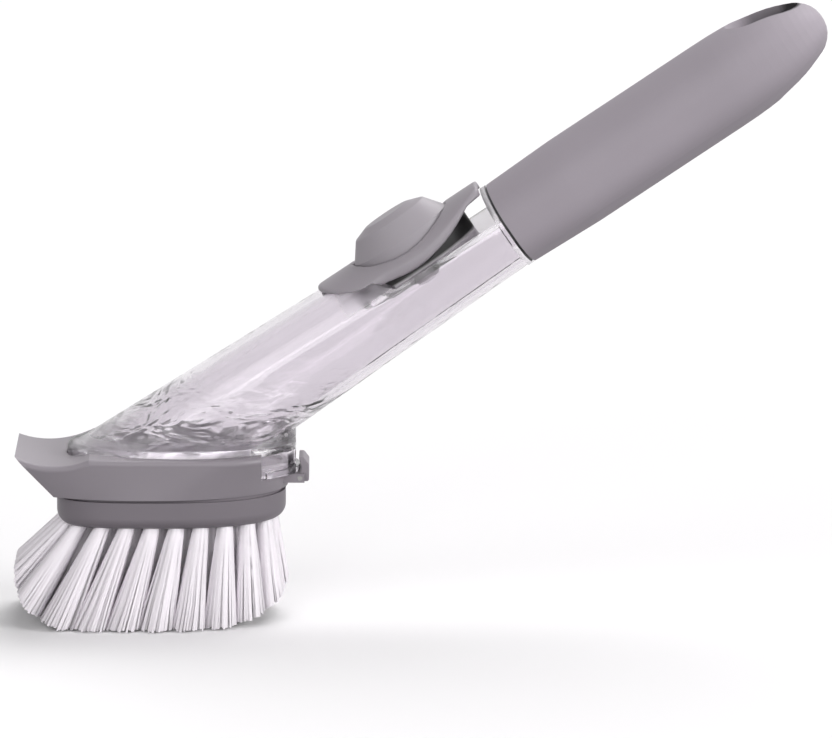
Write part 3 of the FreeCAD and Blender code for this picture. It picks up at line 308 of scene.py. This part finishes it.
grainedFinishes = {
    "gripRubber": {
        "colour": (0.345, 0.312, 0.349, 1), "grainScale": 3200.0, "cloudScale": 40.0, "cloudDepth": 0.05,
        "roughness": 0.62, "spread": 0.12, "bump": 0.22, "specular": 0.2,
    },
    "bezelGrey": {
        "colour": (0.280, 0.256, 0.283, 1), "grainScale": 3600.0, "cloudScale": 60.0, "cloudDepth": 0.04,
        "roughness": 0.46, "spread": 0.10, "bump": 0.12, "specular": 0.5,
    },
    "buttonGrey": {
        "colour": (0.312, 0.288, 0.315, 1), "grainScale": 3600.0, "cloudScale": 60.0, "cloudDepth": 0.04,
        "roughness": 0.48, "spread": 0.10, "bump": 0.14, "specular": 0.48,
    },
    "frameGrey": {
        "colour": (0.222, 0.200, 0.224, 1), "grainScale": 3000.0, "cloudScale": 55.0, "cloudDepth": 0.05,
        "roughness": 0.45, "spread": 0.10, "bump": 0.14, "specular": 0.5,
    },
    "blockGrey": {
        "colour": (0.158, 0.140, 0.159, 1), "grainScale": 3000.0, "cloudScale": 55.0, "cloudDepth": 0.05,
        "roughness": 0.5, "spread": 0.10, "bump": 0.16, "specular": 0.45,
    },
    "coreGrey": {
        "colour": (0.42, 0.40, 0.42, 1), "grainScale": 3000.0, "cloudScale": 70.0, "cloudDepth": 0.04,
        "roughness": 0.42, "spread": 0.10, "bump": 0.08, "specular": 0.5,
    },
    "trayRubber": {
        "colour": (0.66, 0.64, 0.665, 1), "grainScale": 2400.0, "cloudScale": 80.0, "cloudDepth": 0.06,
        "roughness": 0.5, "spread": 0.14, "bump": 0.15, "specular": 0.4,
    },
    "blackSeal": {
        "colour": (0.016, 0.015, 0.017, 1), "grainScale": 2400.0, "cloudScale": 80.0, "cloudDepth": 0.3,
        "roughness": 0.5, "spread": 0.14, "bump": 0.15, "specular": 0.45,
    },
    "paleRubber": {
        "colour": (0.70, 0.69, 0.70, 1), "grainScale": 2200.0, "cloudScale": 90.0, "cloudDepth": 0.06,
        "roughness": 0.52, "spread": 0.12, "bump": 0.10, "specular": 0.4,
    },
}


grainDepth = 0.12 * mm


def grainedFinish(name, values):
    finish, tree, shader = newFinish(name)
    grain = put(tree, "ShaderNodeGroup", node_tree=mouldGrain)
    for title, key in (
        ("Colour", "colour"), ("Grain Scale", "grainScale"), ("Cloud Scale", "cloudScale"),
        ("Cloud Depth", "cloudDepth"), ("Roughness", "roughness"), ("Roughness Spread", "spread"),
    ):
        grain.inputs[title].default_value = values[key]
    bump = put(
        tree, "ShaderNodeBump",
        {"Height": grain.outputs["Height"], "Strength": values["bump"], "Distance": grainDepth},
    )
    feed(tree, shader.inputs["Base Color"], grain.outputs["Colour"])
    feed(tree, shader.inputs["Roughness"], grain.outputs["Roughness"])
    feed(tree, shader.inputs["Normal"], bump.outputs[0])
    shader.inputs["Specular IOR Level"].default_value = values["specular"]
    return finish


finishes = {name: grainedFinish(name, values) for name, values in grainedFinishes.items()}

# painted shade inside the grip's hanging slot
slotShadeValues = {
    "middle": 213.5 * mm, "halfStraight": 4.0 * mm, "halfWide": 5.5 * mm,
    "flare": 2.2 * mm, "flareStart": 7.0 * mm, "flareEnd": 15.6 * mm,
    "fadeStart": 0.07 * mm, "fade": 0.7 * mm, "keep": 0.09,
}
# painted shade on the gasket's rim, in the gap under the bezel
trayShadeValues = {"start": 77.0 * mm, "low": 4.6 * mm, "fade": 1.2 * mm, "keep": 0.025}
# painted shade on the bezel's skirt, below the leaf
skirtShadeValues = {"middle": -1.2 * mm, "radius": 14.45 * mm, "fade": 0.15 * mm, "keep": 0.09}


def slotShadeLevel(tree, place, values):
    # painted shade: the wall inside the hanging slot is darkened, standing in for the shadow deep in the slot
    reach = sums(tree, "ABSOLUTE", sums(tree, "SUBTRACT", place["Along"], values["middle"]))
    reach = sums(tree, "MAXIMUM", sums(tree, "SUBTRACT", reach, values["halfStraight"]), 0.0)
    away = hypot(tree, reach, place["Side"])
    wall = ramp(
        tree, sums(tree, "ABSOLUTE", place["Rise"]), values["flareStart"], values["flareEnd"],
        values["halfWide"], values["halfWide"] + values["flare"])
    past = sums(tree, "SUBTRACT", away, wall)
    return ramp(tree, past, values["fadeStart"], values["fade"], values["keep"], 1.0)


def rimShadeLevel(tree, place, values):
    # painted shade: the gasket's rim, which shows under the bezel, is darkened nearly to black, standing in
    # for the shadow gap there
    behind = ramp(tree, place["Along"], values["start"], values["start"] + values["fade"])
    above = ramp(tree, place["Rise"], values["low"], values["low"] + values["fade"])
    return ramp(tree, sums(tree, "MULTIPLY", behind, above), 0.0, 1.0, 1.0, values["keep"])


def skirtShadeLevel(tree, place, values):
    # painted shade: the skirt under the bezel's arch is darkened, standing in for the shadow gap below the
    # leaf
    above = sums(tree, "SUBTRACT", place["Rise"], values["middle"])
    past = sums(tree, "SUBTRACT", hypot(tree, above, place["Side"]), values["radius"])
    return ramp(tree, past, 0.0, values["fade"], values["keep"], 1.0)


# paints shade into a finish: scales its colour by a level worked out from the point's place in the handle
def paintShade(finish, levelOf, values):
    tree = finish.node_tree
    base = nodeOf(tree, "BSDF_PRINCIPLED").inputs["Base Color"]
    colour = base.links[0].from_socket
    place = put(tree, "ShaderNodeGroup", node_tree=handlePlace).outputs
    feed(tree, base, vectors(tree, "SCALE", colour, levelOf(tree, place, values)))


paintShade(finishes["gripRubber"], slotShadeLevel, slotShadeValues)
paintShade(finishes["trayRubber"], rimShadeLevel, trayShadeValues)
paintShade(finishes["bezelGrey"], skirtShadeLevel, skirtShadeValues)

clearValues = {
    "colour": (0.80, 0.768, 0.806, 1), "ior": 1.49,
    "roughLow": 0.0125, "roughHigh": 0.0375, "roughScale": 35.0, "roughStart": 0.35, "roughEnd": 0.75,
    # flow waves in the thick foot
    "waveTop": 75.0 * mm, "waveFull": 63.0 * mm, "waveBottom": 50.0 * mm, "waveStart": 52.5 * mm,
    "waveScale": 78.0, "waveSquash": 2.4, "waveSwirl": 0.8, "waveDepth": 1.6 * mm, "waveStrength": 0.9,
    "waveHaze": 0.12,
    "rearStart": 23.0 * mm, "rearEnd": 26.0 * mm,  # the waves end higher at the rear, above the catch
    "hazeTop": 60.0 * mm, "hazeFull": 52.0 * mm, "lowHaze": 0.17,  # the foot is duller near its rim
    # matt patch under the bezel, where the pump's pocket is moulded in
    "mattStart": 63.0 * mm, "mattEnd": 122.0 * mm, "mattRise": 3.2 * mm, "mattEdge": 4.0 * mm,
    "mattHaze": 0.34,
}
frostedValues = {
    "dull": (0.80, 0.775, 0.805, 1), "bright": (0.92, 0.90, 0.925, 1), "hazeScale": 160.0,
    "roughLow": 0.24, "roughHigh": 0.5, "ior": 1.49, "through": 0.35,
}
nylonValues = {
    "dull": (0.955, 0.905, 0.96, 1), "bright": (0.998, 0.952, 1.0, 1), "fleckScale": 900.0,
    "roughness": 0.4, "through": 0.04,  # share of the light that passes through a filament
}
wireValues = {"colour": (0.30, 0.295, 0.29, 1), "drawScale": 1800.0, "roughLow": 0.22, "roughHigh": 0.42}


def clearFinish(values):
    finish, tree, shader = newFinish("clearPlastic")
    place = objectPlace(tree)
    parts = apart(tree, place)
    height = parts["Z"]

    # share of the waves at a point: none up the tube, nor beside the catch
    share = ramp(tree, height, values["waveTop"], values["waveFull"], kind="SMOOTHSTEP")
    above = ramp(tree, height, values["waveBottom"], values["waveStart"])
    ahead = sums(tree, "SUBTRACT", 1.0, ramp(tree, parts["X"], values["rearStart"], values["rearEnd"]))
    share = sums(tree, "MULTIPLY", share, sums(tree, "MAXIMUM", above, ahead))
    low = ramp(tree, height, values["hazeTop"], values["hazeFull"])
    low = sums(tree, "MULTIPLY", low, share)
    stretched = put(
        tree, "ShaderNodeMapping", {"Vector": place, "Scale": (1.0, 1.0, values["waveSquash"])}).outputs[0]
    wave = noise(tree, stretched, values["waveScale"], 2.0, distortion=values["waveSwirl"])[0]
    bump = put(tree, "ShaderNodeBump", {
        "Height": sums(tree, "MULTIPLY", wave, share), "Strength": values["waveStrength"],
        "Distance": values["waveDepth"],
    })

    handle = put(tree, "ShaderNodeGroup", node_tree=handlePlace).outputs
    edge = values["mattEdge"]
    patch = ramp(tree, handle["Rise"], values["mattRise"], values["mattRise"] + edge, kind="SMOOTHSTEP")
    for limit, side in ((values["mattStart"], 1.0), (values["mattEnd"], -1.0)):
        inside = sums(tree, "MULTIPLY", sums(tree, "SUBTRACT", handle["Along"], limit), side)
        patch = sums(tree, "MULTIPLY", patch, ramp(tree, inside, 0.0, edge))

    cloud = noise(tree, place, values["roughScale"], 2.0)[0]
    rough = ramp(
        tree, cloud, values["roughStart"], values["roughEnd"], values["roughLow"], values["roughHigh"])
    for mask, key in ((share, "waveHaze"), (low, "lowHaze"), (patch, "mattHaze")):
        rough = sums(tree, "ADD", rough, sums(tree, "MULTIPLY", mask, values[key]))
    feed(tree, shader.inputs["Roughness"], rough)
    feed(tree, shader.inputs["Normal"], bump.outputs[0])
    shader.inputs["Base Color"].default_value = values["colour"]
    shader.inputs["IOR"].default_value = values["ior"]
    shader.inputs["Transmission Weight"].default_value = 1.0
    return finish


def frostedFinish(values):
    # same plastic with a matt face, milky where it is thick
    finish, tree, shader = newFinish("frostedPlastic")
    haze = noise(tree, objectPlace(tree), values["hazeScale"], 3.0)[0]
    rough = ramp(tree, haze, 0.0, 1.0, values["roughLow"], values["roughHigh"])
    feed(tree, shader.inputs["Base Color"], blended(tree, haze, values["dull"], values["bright"]))
    feed(tree, shader.inputs["Roughness"], rough)
    shader.inputs["IOR"].default_value = values["ior"]
    shader.inputs["Transmission Weight"].default_value = values["through"]
    return finish


def bristleFinish(values):
    finish, tree, shader = newFinish("whiteNylon")
    tone = noise(tree, objectPlace(tree), values["fleckScale"], 1.0)[0]
    colour = blended(tree, tone, values["dull"], values["bright"])
    feed(tree, shader.inputs["Base Color"], colour)
    shader.inputs["Roughness"].default_value = values["roughness"]
    glow = put(tree, "ShaderNodeBsdfTranslucent", {"Color": colour})
    mixed = put(tree, "ShaderNodeMixShader", {0: values["through"], 1: shader.outputs[0], 2: glow.outputs[0]})
    feed(tree, nodeOf(tree, "OUTPUT_MATERIAL").inputs["Surface"], mixed.outputs[0])
    return finish


def wireFinish(values):
    finish, tree, shader = newFinish("steelWire")
    drawn = noise(tree, objectPlace(tree), values["drawScale"], 2.0)[0]
    rough = ramp(tree, drawn, 0.0, 1.0, values["roughLow"], values["roughHigh"])
    feed(tree, shader.inputs["Roughness"], rough)
    shader.inputs["Base Color"].default_value = values["colour"]
    shader.inputs["Metallic"].default_value = 1.0
    return finish


finishes["clearPlastic"] = clearFinish(clearValues)
finishes["frostedPlastic"] = frostedFinish(frostedValues)
finishes["whiteNylon"] = bristleFinish(nylonValues)
finishes["steelWire"] = wireFinish(wireValues)

nodesOfFinish = {
    "gripRubber": ("grip_sleeve",),
    "bezelGrey": ("button_bezel",),
    "buttonGrey": ("button_cap",),
    "frameGrey": ("head_frame", "release_latch"),
    "blockGrey": ("brush_block",),
    "coreGrey": ("grip_core", "pump_base", "bellows_ring", "valve_retainer"),
    "blackSeal": ("neck_seal",),
    "trayRubber": ("pump_gasket",),
    "paleRubber": ("base_gasket", "outlet_valve", "air_valve", "pump_bellows", "head_seal"),
    "clearPlastic": ("reservoir_tube",),
    "frostedPlastic": ("base_plate",),
    "steelWire": ("tuft_staples", "latch_pin"),
    "whiteNylon": ("bristles_outer", "bristles_middle", "bristles_center"),
}
for finishName, nodeNames in nodesOfFinish.items():
    for nodeName in nodeNames:
        cad[nodeName].data.materials.clear()
        cad[nodeName].data.materials.append(finishes[finishName])
print("finishes assigned")


# bristles: tufts of filaments that fan out from the block

tuftValues = {
    "blockLong": 66.4 * mm, "blockWide": 44.0 * mm,
    "frontPower": 4.0, "rearPower": 2.2,
    "rings": (
        # piece, node, inset from the block's edge, tufts
        ("bristleRingOuter", "bristles_outer", 4.7 * mm, 22),
        ("bristleRingMiddle", "bristles_middle", 12.6 * mm, 15),
    ),
    "rowPiece": ("bristleRow", "bristles_center"),
    "rowPlaces": (4.2 * mm, -3.2 * mm, -10.6 * mm),
    "rootHeight": 31.0 * mm,
    "filaments": 150,
    "filamentRadius": 0.34 * mm,
    "rootRadius": 2.0 * mm,
    "tipRadius": 4.9 * mm,
    "roundness": 0.8,  # how far filaments shade as the round tuft that they make up
    "reach": 30.6 * mm,
    "leanRate": math.radians(0.6) / mm, "leanZero": 21.0 * mm, "sideRate": math.radians(0.22) / mm,
    "frontStart": -20.0 * mm, "frontRate": math.radians(0.16) / mm / mm,
    # tips are sheared flat, and along a quarter of an ellipse at each end: middle x, z and half axes
    "frontShear": (-28.0 * mm, 14.25 * mm, 17.7 * mm, 14.0 * mm),
    "rearShear": (10.0 * mm, 11.25 * mm, 23.6 * mm, 11.0 * mm),
    "tipHeight": 0.25 * mm,
    "unevenness": 0.012,
    "waviness": 0.035, "wanderScale": 260.0,
    "seed": 7, "turnChance": 0.25, "flareChance": 0.10,
    "goldenTurn": 2.39996,  # from one filament to the next, as in a sunflower
    "stemSides": 5, "stemSteps": 4,
    "outlineSteps": 1440,
}


def ringPlaces(halfLong, halfWide, count, values):
    steps = values["outlineSteps"]
    fine = []
    for i in range(steps + 1):
        angle = 2 * math.pi * i / steps
        cosine, sine = math.cos(angle), math.sin(angle)
        power = 2 / (values["frontPower"] if cosine < 0 else values["rearPower"])
        fine.append((
            halfLong * math.copysign(abs(cosine) ** power, cosine),
            halfWide * math.copysign(abs(sine) ** power, sine),
        ))
    passed = [0.0]
    for start, end in zip(fine, fine[1:]):
        passed.append(passed[-1] + math.dist(start, end))
    places, index = [], 0
    for i in range(count):
        while passed[index] < passed[-1] * i / count:
            index += 1
        places.append(fine[index])
    return places


tuftInputs = {
    "NodeSocketFloat": (
        "Filament Radius", "Root Radius", "Tip Radius", "Reach", "Lean Rate", "Lean Zero", "Side Rate",
        "Front Start", "Front Rate", "Root Height", "Tip Height", "Unevenness", "Waviness",
    ),
    "NodeSocketVector": ("Front Middle", "Front Axes", "Rear Middle", "Rear Axes"),
    "NodeSocketInt": ("Filaments", "Seed"),
    "NodeSocketMaterial": ("Finish",),
}


def makeTuftTree(values):
    tree = bpy.data.node_groups.new("fannedTufts", "GeometryNodeTree")
    tree.interface.new_socket("Geometry", in_out="INPUT", socket_type="NodeSocketGeometry")
    for kind, titles in tuftInputs.items():
        for title in titles:
            tree.interface.new_socket(title, in_out="INPUT", socket_type=kind)
    tree.interface.new_socket("Geometry", in_out="OUTPUT", socket_type="NodeSocketGeometry")
    given = put(tree, "NodeGroupInput").outputs
    here = put(tree, "GeometryNodeInputPosition").outputs[0]

    def chance(amount, step):  # from minus amount to plus amount
        node = put(tree, "FunctionNodeRandomValue", data_type="FLOAT")
        node.inputs[2].default_value = -amount
        node.inputs[3].default_value = amount
        feed(tree, node.inputs["Seed"], put(
            tree, "FunctionNodeIntegerMath", {0: given["Seed"], 1: step}, operation="ADD").outputs[0])
        return node.outputs[1]

    # each tuft's middle is kept, and one point per filament set round it as in a sunflower
    kept = put(
        tree, "GeometryNodeStoreNamedAttribute",
        {"Geometry": given["Geometry"], "Name": "tuftMiddle", "Value": here}, data_type="FLOAT_VECTOR",
    ).outputs[0]
    many = put(
        tree, "GeometryNodeDuplicateElements",
        {"Geometry": kept, "Amount": given["Filaments"]}, domain="POINT",
    ).outputs
    middle = put(
        tree, "GeometryNodeInputNamedAttribute", {"Name": "tuftMiddle"}, data_type="FLOAT_VECTOR",
    ).outputs[0]
    order = many["Duplicate Index"]
    spread = sums(tree, "SQRT", sums(tree, "DIVIDE", sums(tree, "ADD", order, 0.5), given["Filaments"]))
    turn = sums(tree, "MULTIPLY", order, values["goldenTurn"])
    turn = sums(tree, "ADD", turn, chance(values["turnChance"], 1))
    flower = joined(
        tree, sums(tree, "MULTIPLY", spread, sums(tree, "COSINE", turn)),
        sums(tree, "MULTIPLY", spread, sums(tree, "SINE", turn)))

    # lean of the tuft: more towards the edges, and most at the front
    parts = apart(tree, middle)
    leanX = sums(tree, "MULTIPLY", sums(tree, "SUBTRACT", parts[0], given["Lean Zero"]), given["Lean Rate"])
    ahead = sums(tree, "MAXIMUM", sums(tree, "SUBTRACT", given["Front Start"], parts[0]), 0.0)
    extra = sums(tree, "MULTIPLY", sums(tree, "MULTIPLY", ahead, ahead), given["Front Rate"])
    leanX = sums(tree, "SUBTRACT", leanX, extra)
    leanY = sums(tree, "MULTIPLY", parts[1], given["Side Rate"])
    axis = joined(tree, sums(tree, "TANGENT", leanX), sums(tree, "TANGENT", leanY), -1.0)
    axis = vectors(tree, "NORMALIZE", axis)
    back = vectors(tree, "SCALE", axis, -1.0)
    tilt = put(tree, "FunctionNodeAlignRotationToVector", {"Vector": back}, axis="Z").outputs[0]
    leaned = put(tree, "FunctionNodeRotateVector", {"Vector": flower, "Rotation": tilt}).outputs[0]

    # root of each filament, and its run for each unit of drop
    root = vectors(tree, "ADD", middle, vectors(tree, "SCALE", flower, given["Root Radius"]))
    flare = sums(tree, "ADD", 1.0, chance(values["flareChance"], 3))
    flare = sums(tree, "MULTIPLY", given["Tip Radius"], flare)
    tip = vectors(tree, "ADD", middle, vectors(tree, "SCALE", axis, given["Reach"]))
    tip = vectors(tree, "ADD", tip, vectors(tree, "SCALE", leaned, flare))
    run = vectors(tree, "SUBTRACT", tip, root)
    fall = sums(tree, "MULTIPLY", apart(tree, run)["Z"], -1.0)
    slope = vectors(tree, "SCALE", run, sums(tree, "DIVIDE", 1.0, fall))
    slopeX = apart(tree, slope)["X"]
    rootX = apart(tree, root)["X"]
    flatDrop = sums(tree, "SUBTRACT", given["Root Height"], given["Tip Height"])
    flatX = sums(tree, "ADD", rootX, sums(tree, "MULTIPLY", slopeX, flatDrop))

    def shearDrop(centre, axes):  # drop at which a filament leaves the ellipse
        centre = apart(tree, centre)
        axes = apart(tree, axes)
        startX = sums(tree, "DIVIDE", sums(tree, "SUBTRACT", rootX, centre["X"]), axes["X"])
        startZ = sums(tree, "DIVIDE", sums(tree, "SUBTRACT", given["Root Height"], centre["Z"]), axes["Z"])
        start = (startX, startZ)
        step = (sums(tree, "DIVIDE", slopeX, axes["X"]), sums(tree, "DIVIDE", -1.0, axes["Z"]))
        square = dot(tree, step, step)
        cross = dot(tree, start, step)
        rest = sums(tree, "MULTIPLY", square, sums(tree, "SUBTRACT", dot(tree, start, start), 1.0))
        inner = sums(tree, "SUBTRACT", sums(tree, "MULTIPLY", cross, cross), rest)
        inner = sums(tree, "SQRT", sums(tree, "MAXIMUM", inner, 0.0))
        return sums(tree, "DIVIDE", sums(tree, "SUBTRACT", inner, cross), square), centre["X"]

    frontDrop, frontX = shearDrop(given["Front Middle"], given["Front Axes"])
    rearDrop, rearX = shearDrop(given["Rear Middle"], given["Rear Axes"])
    inFront = sums(tree, "LESS_THAN", flatX, frontX)
    behind = sums(tree, "GREATER_THAN", flatX, rearX)
    drop = put(tree, "ShaderNodeMix", {0: inFront, 2: flatDrop, 3: frontDrop}).outputs[0]
    drop = put(tree, "ShaderNodeMix", {0: behind, 2: drop, 3: rearDrop}).outputs[0]
    uneven = sums(tree, "MULTIPLY", given["Unevenness"], sums(tree, "SUBTRACT", chance(1.0, 2), 1.0))
    drop = sums(tree, "MULTIPLY", drop, sums(tree, "ADD", 1.0, uneven))
    run = vectors(tree, "SCALE", slope, drop)
    length = put(tree, "ShaderNodeVectorMath", {0: run}, operation="LENGTH").outputs["Value"]
    aim = put(tree, "FunctionNodeAlignRotationToVector", {"Vector": run}, axis="Z").outputs[0]

    stem = put(tree, "GeometryNodeMeshCylinder", {
        "Vertices": values["stemSides"], "Side Segments": values["stemSteps"],
        "Radius": given["Filament Radius"], "Depth": 1.0,
    }, fill_type="NGON").outputs["Mesh"]
    stem = put(tree, "GeometryNodeTransform", {"Geometry": stem, "Translation": (0, 0, 0.5)}).outputs[0]
    moved = put(
        tree, "GeometryNodeStoreNamedAttribute",
        {"Geometry": many["Geometry"], "Name": "tuftOut", "Value": leaned}, data_type="FLOAT_VECTOR",
    ).outputs[0]
    moved = put(tree, "GeometryNodeSetPosition", {"Geometry": moved, "Position": root}).outputs[0]
    stems = put(tree, "GeometryNodeInstanceOnPoints", {
        "Points": moved, "Instance": stem, "Rotation": aim,
        "Scale": joined(tree, 1.0, 1.0, length),
    }).outputs[0]
    stems = put(tree, "GeometryNodeRealizeInstances", {"Geometry": stems}).outputs[0]

    # filaments wander a little, more towards the tips
    wander = noise(tree, here, values["wanderScale"], 1.0)["Color"]
    below = sums(tree, "SUBTRACT", given["Root Height"], apart(tree, here)["Z"])
    sway = sums(tree, "MULTIPLY", sums(tree, "MAXIMUM", below, 0.0), given["Waviness"])
    offset = vectors(tree, "SCALE", vectors(tree, "SUBTRACT", wander, (0.5, 0.5, 0.5)), sway)
    offset = vectors(tree, "MULTIPLY", offset, (1.0, 1.0, 0.0))
    stems = put(tree, "GeometryNodeSetPosition", {"Geometry": stems, "Offset": offset}).outputs[0]
    stems = put(tree, "GeometryNodeSetShadeSmooth", {"Geometry": stems}).outputs[0]
    stems = put(tree, "GeometryNodeSetMaterial", {"Geometry": stems, "Material": given["Finish"]}).outputs[0]
    put(tree, "NodeGroupOutput", {0: stems})
    return tree


def roundTufts(mesh, share):
    # turns the normals outwards from the middle of each tuft
    outward = [0.0] * (3 * len(mesh.vertices))
    mesh.attributes["tuftOut"].data.foreach_get("vector", outward)
    normals = []
    for i, vertex in enumerate(mesh.vertices):
        out = Vector(outward[3 * i:3 * i + 3]).normalized()
        normals.append(vertex.normal.lerp(out, share).normalized())
    mesh.normals_split_custom_set_from_vertices(normals)
    for name in ("tuftOut", "tuftMiddle"):
        mesh.attributes.remove(mesh.attributes[name])


def growTufts(tree, piece, node, places, values):
    mesh = bpy.data.meshes.new(piece)
    mesh.from_pydata([(x, y, values["rootHeight"]) for x, y in places], [], [])
    grown = bpy.data.objects.new(piece, mesh)
    bpy.context.scene.collection.objects.link(grown)
    modifier = grown.modifiers.new("tufts", "NODES")
    modifier.node_group = tree
    settings = dict(values, finish=finishes["whiteNylon"])
    for end in ("front", "rear"):
        x, z, halfX, halfZ = values[end + "Shear"]
        settings[end + "Middle"] = (x, 0.0, z)
        settings[end + "Axes"] = (halfX, 1.0, halfZ)
    for item in tree.interface.items_tree:
        key = item.name[0].lower() + item.name[1:].replace(" ", "")
        if item.in_out == "INPUT" and key in settings:
            modifier[item.identifier] = settings[key]
    bpy.context.view_layer.update()
    seen = grown.evaluated_get(bpy.context.evaluated_depsgraph_get())
    plain = bpy.data.meshes.new_from_object(seen)
    grown.modifiers.remove(modifier)
    grown.data = plain
    plain.name = piece
    roundTufts(plain, values["roundness"])
    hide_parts(node)
    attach(grown, "brush_head")
    return grown


tuftTree = makeTuftTree(tuftValues)
for piece, node, inset, count in tuftValues["rings"]:
    halfLong = tuftValues["blockLong"] / 2 - inset
    halfWide = tuftValues["blockWide"] / 2 - inset
    growTufts(tuftTree, piece, node, ringPlaces(halfLong, halfWide, count, tuftValues), tuftValues)
rowPiece, rowNode = tuftValues["rowPiece"]
growTufts(tuftTree, rowPiece, rowNode, [(x, 0.0) for x in tuftValues["rowPlaces"]], tuftValues)
print("bristles grown")


# bezel with soft moulded edges

bezelValues = {
    "node": "button_bezel", "piece": "softBezel", "weld": 0.002 * mm,
    "voxel": 0.36 * mm, "smoothing": 0.5, "rounds": 8,
    # lower edge of the leaf: a hollow curve with its lowest point beside the button
    "archMiddle": -1.2 * mm, "archInside": 14.5 * mm,
    "edgeStation": 90.0 * mm, "edgeRise": 6.35 * mm, "edgeBend": 0.0128 / mm,
    "edgeFront": 9.0 * mm, "edgeRear": 12.4 * mm,
    # the leaf's sides reach further round the tube ahead of the button
    "reachStation": 73.0 * mm, "reachHalf": 9.0 * mm, "reachTurn": math.radians(7.5),
    "reachFrom": math.radians(22), "reachFull": math.radians(40),
}


def weldedCopy(values):
    mesh = cad[values["node"]].data.copy()
    mesh.name = values["piece"]
    shell = bmesh.new()
    shell.from_mesh(mesh)
    bmesh.ops.remove_doubles(shell, verts=shell.verts, dist=values["weld"])
    shell.to_mesh(mesh)
    shell.free()
    piece = bpy.data.objects.new(values["piece"], mesh)
    bpy.context.scene.collection.objects.link(piece)
    return piece


def remeshed(piece, voxel):
    modifier = piece.modifiers.new("even", "REMESH")
    modifier.mode = "VOXEL"
    modifier.voxel_size = voxel
    bpy.context.view_layer.update()
    seen = piece.evaluated_get(bpy.context.evaluated_depsgraph_get())
    plain = bpy.data.meshes.new_from_object(seen)
    piece.modifiers.remove(modifier)
    piece.data = plain
    return plain


def liftEdge(mesh, values):
    # curves the leaf's lower edge, outside the arch that clears the well, and widens its sides
    start, along, rise = (Vector(handleValues[key]) for key in ("start", "along", "rise"))
    for vertex in mesh.vertices:
        place = vertex.co - start
        high = place.dot(rise)
        if math.hypot(place.y, high - values["archMiddle"]) < values["archInside"]:
            continue
        away = place.dot(along) - values["edgeStation"]
        cap = values["edgeFront"] if away < 0 else values["edgeRear"]
        lowest = min(values["edgeRise"] + values["edgeBend"] * away * away, cap)
        if high < lowest:
            vertex.co += rise * (lowest - high)
            high = lowest
        near = 1 - abs(place.dot(along) - values["reachStation"]) / values["reachHalf"]
        bent = math.atan2(abs(place.y), high) - values["reachFrom"]
        bent /= values["reachFull"] - values["reachFrom"]
        if near > 0 and bent > 0:
            turn = values["reachTurn"] * near * near * (3 - 2 * near) * min(bent, 1.0)
            side = math.copysign(1.0, place.y)
            wide = abs(place.y) * math.cos(turn) + high * math.sin(turn)
            drop = high - (high * math.cos(turn) - abs(place.y) * math.sin(turn))
            vertex.co.y = side * wide
            vertex.co -= rise * drop


def finishSoft(piece, body, finish, values):
    mesh = piece.data
    mesh.name = values["piece"]
    shell = bmesh.new()
    shell.from_mesh(mesh)
    for i in range(values["rounds"]):
        bmesh.ops.smooth_vert(
            shell, verts=shell.verts, factor=values["smoothing"],
            use_axis_x=True, use_axis_y=True, use_axis_z=True)
    shell.to_mesh(mesh)
    shell.free()
    mesh.materials.clear()
    mesh.materials.append(finishes[finish])
    mesh.shade_smooth()
    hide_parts(values["node"])
    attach(piece, body)
    print(values["piece"], len(mesh.polygons), "faces")


bezel = weldedCopy(bezelValues)
liftEdge(remeshed(bezel, bezelValues["voxel"]), bezelValues)
remeshed(bezel, bezelValues["voxel"])
finishSoft(bezel, "wand", "bezelGrey", bezelValues)

latchValues = {
    "node": "release_latch", "piece": "softLatch", "weld": 0.002 * mm,
    "voxel": 0.2 * mm, "smoothing": 0.5, "rounds": 5,
}
latch = weldedCopy(latchValues)
remeshed(latch, latchValues["voxel"])
finishSoft(latch, "latch", "frameGrey", latchValues)


# bellows under the button: a copy of the part, attached to the wand

bellowsValues = {
    "node": "pump_bellows", "piece": "softBellows", "joint": "button_press",
    "axis": (-0.559, 0, 0.829), "travel": 4.0 * mm, "weld": 0.002 * mm,
}


def makeBellows(values):
    bellows = weldedCopy(values)
    mesh = bellows.data
    axis = Vector(values["axis"]).normalized()
    lowest = min(mesh.vertices, key=lambda point: point.co.dot(axis)).co
    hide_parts(values["node"])
    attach(bellows, "wand")
    lowest.copy()
    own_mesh(bellows)


makeBellows(bellowsValues)
